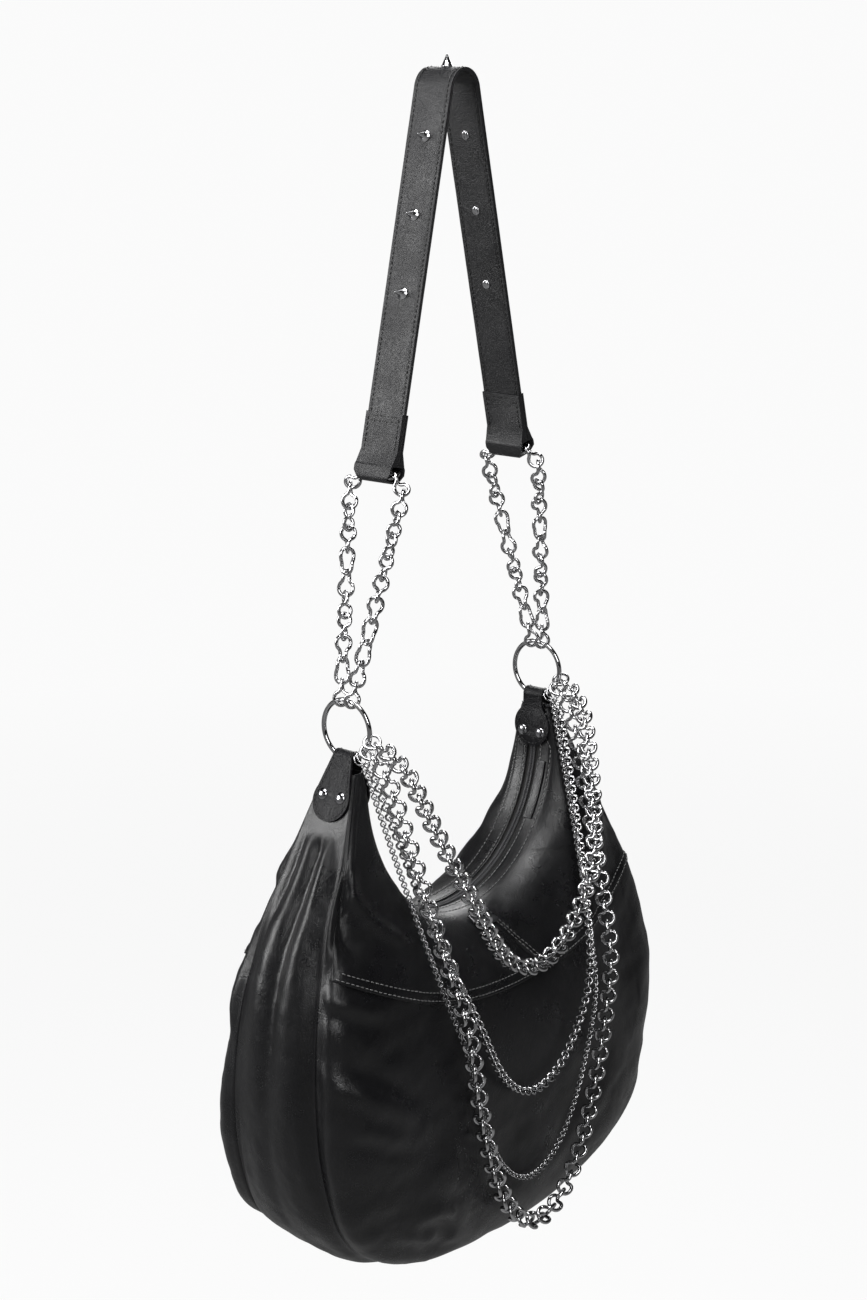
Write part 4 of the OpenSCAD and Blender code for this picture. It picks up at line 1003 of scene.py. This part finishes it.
skins, wholes = {}, {}
for side, word in ((-1, "front"), (1, "back")):
    yoke, panel, down = front_skins(side)
    out_yoke, out_panel = outward(yoke, [0, side, 0.3]), outward(panel, [0, side, 0])
    from_edge = down[:, -1:] - down
    lift = 1.5 * bell(from_edge, 14.0) * SEAM_FREE[:, None] + 0.25
    # The seams beside the two rows of stitches pull the leather in
    for row in YOKE_ROWS:
        lift = lift - 0.28 * bell(from_edge - row, 1.1)
    yoke = yoke + out_yoke * lift[..., None]
    x, z = yoke[..., 0], yoke[..., 2]
    if side < 0:
        seam = fold(x, z, CENTRE_SEAM, -1.0, 1.6) + fold(x, z, CENTRE_SEAM + [2.4, 0], 0.7, 2.6)
    else:
        seam = -bell(x, 1.6)
    yoke = yoke + out_yoke * (seam * smooth((down - 2) / 6))[..., None]
    skins[word] = (yoke, panel, out_yoke, out_panel)
    whole = np.concatenate([rim_band(side, yoke[:, :1]), yoke[:, 1:]], axis=1)
    out_whole = outward(whole, [0, side, 0.3])
    # A stitched channel round the mouth and a second one where the band ends
    dist = along_rows(whole)
    channels = 0.3 * bell(dist - RIM_ROWS[0], 0.9) + 0.35 * bell(dist - RIM_ROWS[1], 1.0)
    whole = whole - out_whole * channels[..., None]
    wholes[word] = (whole, out_whole, dist)
    closed_sheet(word + "_yoke_leather", whole, whole - out_whole * YOKE_THICK, M_BAG, "bag_leather",
                 word + "_yoke_left", word + "_yoke_right")
    closed_sheet(word + "_panel_leather", panel, panel - out_panel * SHEET_THICK, M_BAG, "bag_leather",
                 word + "_panel")

gusset = gusset_skin()
closed_sheet("gusset_leather", gusset, gusset - outward(gusset, [0, 0, -1]) * SHEET_THICK, M_BAG,
             "bag_leather", "left_gusset", "base_gusset", "right_gusset")

# The lining follows the leather's folds inside, on a coarser grid
LINING_IN, LINING_THICK, LINING_STEP = 3.4, 0.8, 6
cut = slice(30, len(COLS) - 30)
yoke_cut, panel_cut = (cut, slice(8, None, LINING_STEP)), (cut, slice(6, -8, LINING_STEP))
walls = []
for word in ("front", "back"):
    yoke, panel, out_yoke, out_panel = skins[word]
    wall = np.concatenate([yoke[yoke_cut], panel[panel_cut]], axis=1)
    walls.append(wall - LINING_IN * np.concatenate([out_yoke[yoke_cut], out_panel[panel_cut]], axis=1))
lining = np.concatenate([walls[0], walls[1][:, ::-1]], axis=1)[::3]
closed_sheet("lining_cloth_skin", lining, lining - outward(lining, [0, 0, -1]) * LINING_THICK, M_LINING,
             "lining_cloth", "lining")


# Stitches of the body: two rows along the yoke seam, two round the mouth, two at the centre seam

def across_columns(grid, nrm, dist, at, chosen):
    """Points and normals where each chosen column has run the distance at."""
    at = np.broadcast_to(at, len(grid))
    return [np.array([at_lengths(at[i], dist[i], g[i]) for i in np.flatnonzero(chosen)])
            for g in (grid, nrm)]


NEAR, NEAR_REACH, MOUTH_FROM = 6, 4.0, 2.2
seams = Parts()
for word, side in (("front", -1), ("back", 1)):
    whole, out, dist = wholes[word]
    for row in YOKE_ROWS:
        line = across_columns(whole, out, dist, dist[:, -1] - row, SEAM_FREE)
        stitch_row(seams, *line, 3.2, 1.3, 0.4, 0.1)
    at_mouth = (COLS > MOUTH_FROM) & (COLS < COLS_END - MOUTH_FROM)
    for row in RIM_ROWS:
        stitch_row(seams, *across_columns(whole, out, dist, row, at_mouth), 3.0, 1.3, 0.36, 0.08)
    flat, flat_n = whole[:, RIM_N:].reshape(-1, 3), out[:, RIM_N:].reshape(-1, 3)
    line = CENTRE_SEAM if side < 0 else BACK_SEAM
    fine = at_lengths(np.linspace(0, 1, 60), np.linspace(0, 1, len(line)), line)
    t = unit(np.gradient(fine, axis=0))
    for off in (2.2, 5.2) if side < 0 else (-2.4, 2.4):
        p, n = [], []
        for x, z in fine + points(-t[:, 1], t[:, 0]) * off:
            d2 = (flat[:, 0] - x) ** 2 + (flat[:, 2] - z) ** 2
            k = np.argpartition(d2, NEAR)[:NEAR]
            if d2[k].min() < NEAR_REACH ** 2:
                w = 1 / (d2[k] + 0.05)
                p.append([x, flat[k, 1] @ w / w.sum(), z])
                n.append(w @ flat_n[k])
        stitch_row(seams, p, n, 3.0, 1.3, 0.36, 0.1)
# The body stitches take the thread painted lighter, a painted sheen for their gloss
seams.make("body_stitches", "bag", M_SHEEN_PAINTED_THREAD, "bag_leather")


# Ring tabs: a stitched border on each leg and over the fold, and the domed rivets

def in_tab(v, side, leg):
    """A point given in the frame of a tab's outer leg (1) or inner leg (-1)."""
    lean = TAB_LEAN if leg > 0 else INNER_LEAN
    return turned(v, lean, side * leg) + [side * RING_X, 0, TAB_Z]


def tab_out(side, leg):
    return in_tab([1, 0, 0], side, leg) - in_tab([0, 0, 0], side, leg)


BORDER_R, BORDER_COUNT, FOLD_HALF = 16.2, 160, 8.0
TAB_OUT_R = TAB_BORE + PLY
tab_rows = Parts()
for side in (-1, 1):
    for leg, neck, top, mid in ((1, 8.0, -1.5, -35.5), (-1, 6.0, -7.0, -27.5)):
        a = np.linspace(184, 356, 40)
        bowl = points(BORDER_R * cos_deg(a), mid + BORDER_R * sin_deg(a))
        edge = np.concatenate([[(-neck, top)], bowl, [(neck, top)]])
        s = lengths(edge)
        y, z = at_lengths(np.linspace(0, s[-1], BORDER_COUNT), s, edge).T
        out = np.tile(tab_out(side, leg), (BORDER_COUNT, 1))
        stitch_row(tab_rows, in_tab(points(TAB_OUT_R, y, z), side, leg), out, 2.7, 1.2, 0.3, 0.05)
    a = np.linspace(-20, 176, 40)
    out = points(side * cos_deg(a), 0, sin_deg(a))
    for y in (-FOLD_HALF, FOLD_HALF):
        stitch_row(tab_rows, [side * RING_X, y, TAB_Z] + TAB_OUT_R * out, out, 2.6, 1.1, 0.28, 0.03)
tab_rows.make("tab_stitches", "bag", M_THREAD, "tab_leather")

# A rivet's washer beneath the leather's inner face, and its dome above the outer one
WASHER = [(0, 1), (3.8, 1), (4.0, 0.9), (4.0, 0.15), (3.9, 0), (1.5, 0)]
DOME = [(1.5, -0.02), (4.9, -0.02), (4.98, 0.12), (4.75, 0.5), (4.2, 1.08),
        (3.4, 1.66), (2.4, 2.12), (1.2, 2.38), (0, 2.45)]
RIVET_Y, RIVET_Z = 9.5, -33.0
for name, side in (("left", -1), ("right", 1)):
    part = Parts()
    for leg, back in ((1, 2.35), (-1, 3.55)):
        v, f = lathe([(r, -back - h) for r, h in WASHER] + [(r, PLY + h) for r, h in DOME])
        for y in (-RIVET_Y, RIVET_Y):
            place = in_tab([TAB_BORE, y, RIVET_Z], side, leg)
            part.add(placed(v, place, [0, 1, 0], tab_out(side, leg)), f)
    part.make(name + "_domed_rivets", "bag", M_RIVET, "rivet_metal", name + "_tab_rivets")

# Ear strips: a row of stitches along both edges
STRIP_R, STRIP_ROWS, STRIP_FROM, STRIP_TO = ZIP_R - WALL - 0.3, (-8.4, -13.6), 11.0, 34.0
strip_rows = Parts()
for side in (-1, 1):
    a = np.linspace(STRIP_FROM, STRIP_TO, 60)
    inward = points(-side * cos_deg(a), 0, sin_deg(a))
    for y in STRIP_ROWS:
        stitch_row(strip_rows, [0, y, ZIP_Z] - STRIP_R * inward, inward, 2.6, 1.1, 0.26, 0.03)
# The ear strip stitches take the thread painted lighter, a painted sheen for their gloss
strip_rows.make("ear_strip_stitches", "bag", M_SHEEN_PAINTED_THREAD, "trim_leather")


# Zip

def on_zip(a, r, y):
    return points(-r * cos_deg(a), y, ZIP_Z - r * sin_deg(a))


COIL_R, COIL_PITCH, COIL_STEPS = ZIP_R + WALL - 1.15, 1.55, 14
coil_span = 180 - 2 * ZIP_END
turns = int(math.radians(coil_span) * COIL_R / COIL_PITCH)
for word, side in (("front", -1), ("back", 1)):
    a = np.linspace(2, 178, 420)[:, None]
    y = np.linspace(0.75, 11, 34)
    rib = 0.10 * np.cos(y * 2 * np.pi / 1.15) + 0.22 * bell(y - 3.6, 0.5)
    twill = 0.05 * np.sin(np.arange(len(a))[:, None] * 2.1 + y * 5.0)
    top = on_zip(a, ZIP_R + WALL + 0.15 - rib * 0.5 - twill, side * y)
    low = on_zip(a, ZIP_R + WALL + 0.85, side * y)
    closed_sheet("zip_tape_%s_cloth" % word, top, low, M_TAPE, "zip_tape", "zip_tape_" + word)
    # The coil's wire, then the cord inside it
    u = np.linspace(0, 1, turns * COIL_STEPS)
    phase = u * turns * 2 * np.pi + (0 if side < 0 else np.pi)
    r, y = COIL_R - 0.72 * np.sin(phase), 1.45 + 1.05 * np.cos(phase)
    part = Parts()
    part.add(*tube(on_zip(ZIP_END + coil_span * u, r, side * y), 0.34, 7))
    part.add(*tube(on_zip(np.linspace(ZIP_END, 180 - ZIP_END, 300), COIL_R, side * 1.6), 0.42, 8))
    part.make("zip_coil_%s_teeth" % word, "bag", M_COIL, "zip_coil", "zip_coil_" + word)

# A floor of white paper that glows for the camera, and less for the metal's reflections
WHITE, FLOOR_Z, FLOOR_HALF = 0.96, -1.75, 60
floor_m, nt, b = material("floor_paper", grey(0.86), 0.9, specular=0.1)
path = node(nt, "LightPath")
glow = node(nt, "Emission", Color=(*grey(WHITE), 1))
dim = maths(nt, "MULTIPLY_ADD", path.outputs["Is Glossy Ray"], -0.82, 1.0)
nt.links.new(dim, glow.inputs["Strength"])
seen = maths(nt, "MAXIMUM", path.outputs["Is Camera Ray"],
             maths(nt, "MAXIMUM", path.outputs["Is Glossy Ray"], path.outputs["Is Transmission Ray"]))
far = node(nt, "VectorMath", coords(nt), operation="LENGTH").outputs["Value"]
share = ramp(nt, maths(nt, "MULTIPLY", far, 0.1), (0.18, 0.86), (0.5, 1))
paper = mixed(nt, maths(nt, "MULTIPLY", seen, share), b.outputs["BSDF"], glow.outputs["Emission"])
nt.links.new(paper, nt.nodes["Material Output"].inputs["Surface"])
me = bpy.data.meshes.new("floor")
corners = [(-1, -1), (1, -1), (1, 1), (-1, 1)]
me.from_pydata([(x * FLOOR_HALF, y * FLOOR_HALF, FLOOR_Z) for x, y in corners], [], [(0, 1, 2, 3)])
me.materials.append(floor_m)
floor = bpy.data.objects.new("floor", me)
scene.collection.objects.link(floor)

# A pale room. Reflections see it with dark flags and bright strips, so that the metal shows contrast
world = bpy.data.worlds.new("studio")
scene.world = world
world.use_nodes = True
nt = world.node_tree
path = node(nt, "LightPath")
sep = node(nt, "SeparateXYZ", node(nt, "TexCoord").outputs["Generated"])
height = maths(nt, "MULTIPLY_ADD", sep.outputs["Z"], 0.5, 0.5)
bands = ramp(nt, height, (0.0, 0.10), (0.42, 0.12), (0.47, 0.95), (0.51, 0.95), (0.53, 0.04), (0.61, 0.04),
             (0.64, 0.95), (0.70, 0.95), (0.73, 0.03), (0.90, 0.04), (0.94, 0.6), (1.0, 0.6), how="EASE")
turn = maths(nt, "SUBTRACT", maths(nt, "ARCTAN2", sep.outputs["Y"], sep.outputs["X"]), math.radians(140))
facing = maths(nt, "MULTIPLY_ADD", maths(nt, "COSINE", turn), 0.5, 0.5)
flags = ramp(nt, facing, (0.0, 0.12), (0.10, 0.06), (0.15, 0.7), (0.20, 0.06), (0.44, 0.08),
             (0.52, 0.9), (0.60, 0.10), (0.78, 0.12), (0.90, 1.0), (1.0, 1.0), how="EASE")
mirror = node(nt, "Mix", 1.0, data_type="RGBA", blend_type="MULTIPLY")
nt.links.new(bands, mirror.inputs[6])
nt.links.new(flags, mirror.inputs[7])
shine = node(nt, "Background", mirror.outputs[2], Strength=0.75)
back = node(nt, "Background", Color=(*grey(WHITE), 1))
out = node(nt, "Background", Color=(*grey(0.5), 1), Strength=0.9).outputs["Background"]
for ray, shader in (("Is Glossy Ray", shine), ("Is Camera Ray", back), ("Is Transmission Ray", back)):
    out = mixed(nt, path.outputs[ray], out, shader.outputs["Background"])
nt.links.new(out, nt.nodes["World Output"].inputs["Surface"])


def area(name, loc, target, size, power, size_y=None):
    d = bpy.data.lights.new(name, "AREA")
    d.shape = "RECTANGLE"
    d.size, d.size_y = size, size_y or size
    d.energy = power
    ob = bpy.data.objects.new(name, d)
    ob.location = loc
    ob.rotation_euler = (Vector(target) - Vector(loc)).to_track_quat("-Z", "Y").to_euler()
    scene.collection.objects.link(ob)


area("key", (-2.0, 1.7, 0.35), (-0.05, 0, -0.55), 1.2, 52, 1.4)
area("top", (-0.5, -0.1, 1.6), (0, 0, -0.6), 1.2, 42)
area("fill", (-1.6, -1.9, 0.9), (0, 0, -0.6), 0.7, 24, 1.3)
area("rim", (1.7, 1.0, 0.5), (0, 0, -0.6), 0.8, 22, 1.4)

cam = bpy.data.cameras.new("camera")
cam.lens, cam.sensor_width = 66.46, 36
cam.clip_start, cam.clip_end = 0.05, 300
eye = bpy.data.objects.new("camera", cam)
forward = Vector((0.7466, 0.6177, -0.2470)).normalized()
right = Vector((0.6374, -0.7705, 0.0)).normalized()
m = Matrix((right, right.cross(forward), -forward)).transposed().to_4x4()
m.translation = (-1.506, -1.232, 0.025)
eye.matrix_world = m
scene.collection.objects.link(eye)
scene.camera = eye
scene.view_settings.view_transform = "Standard"
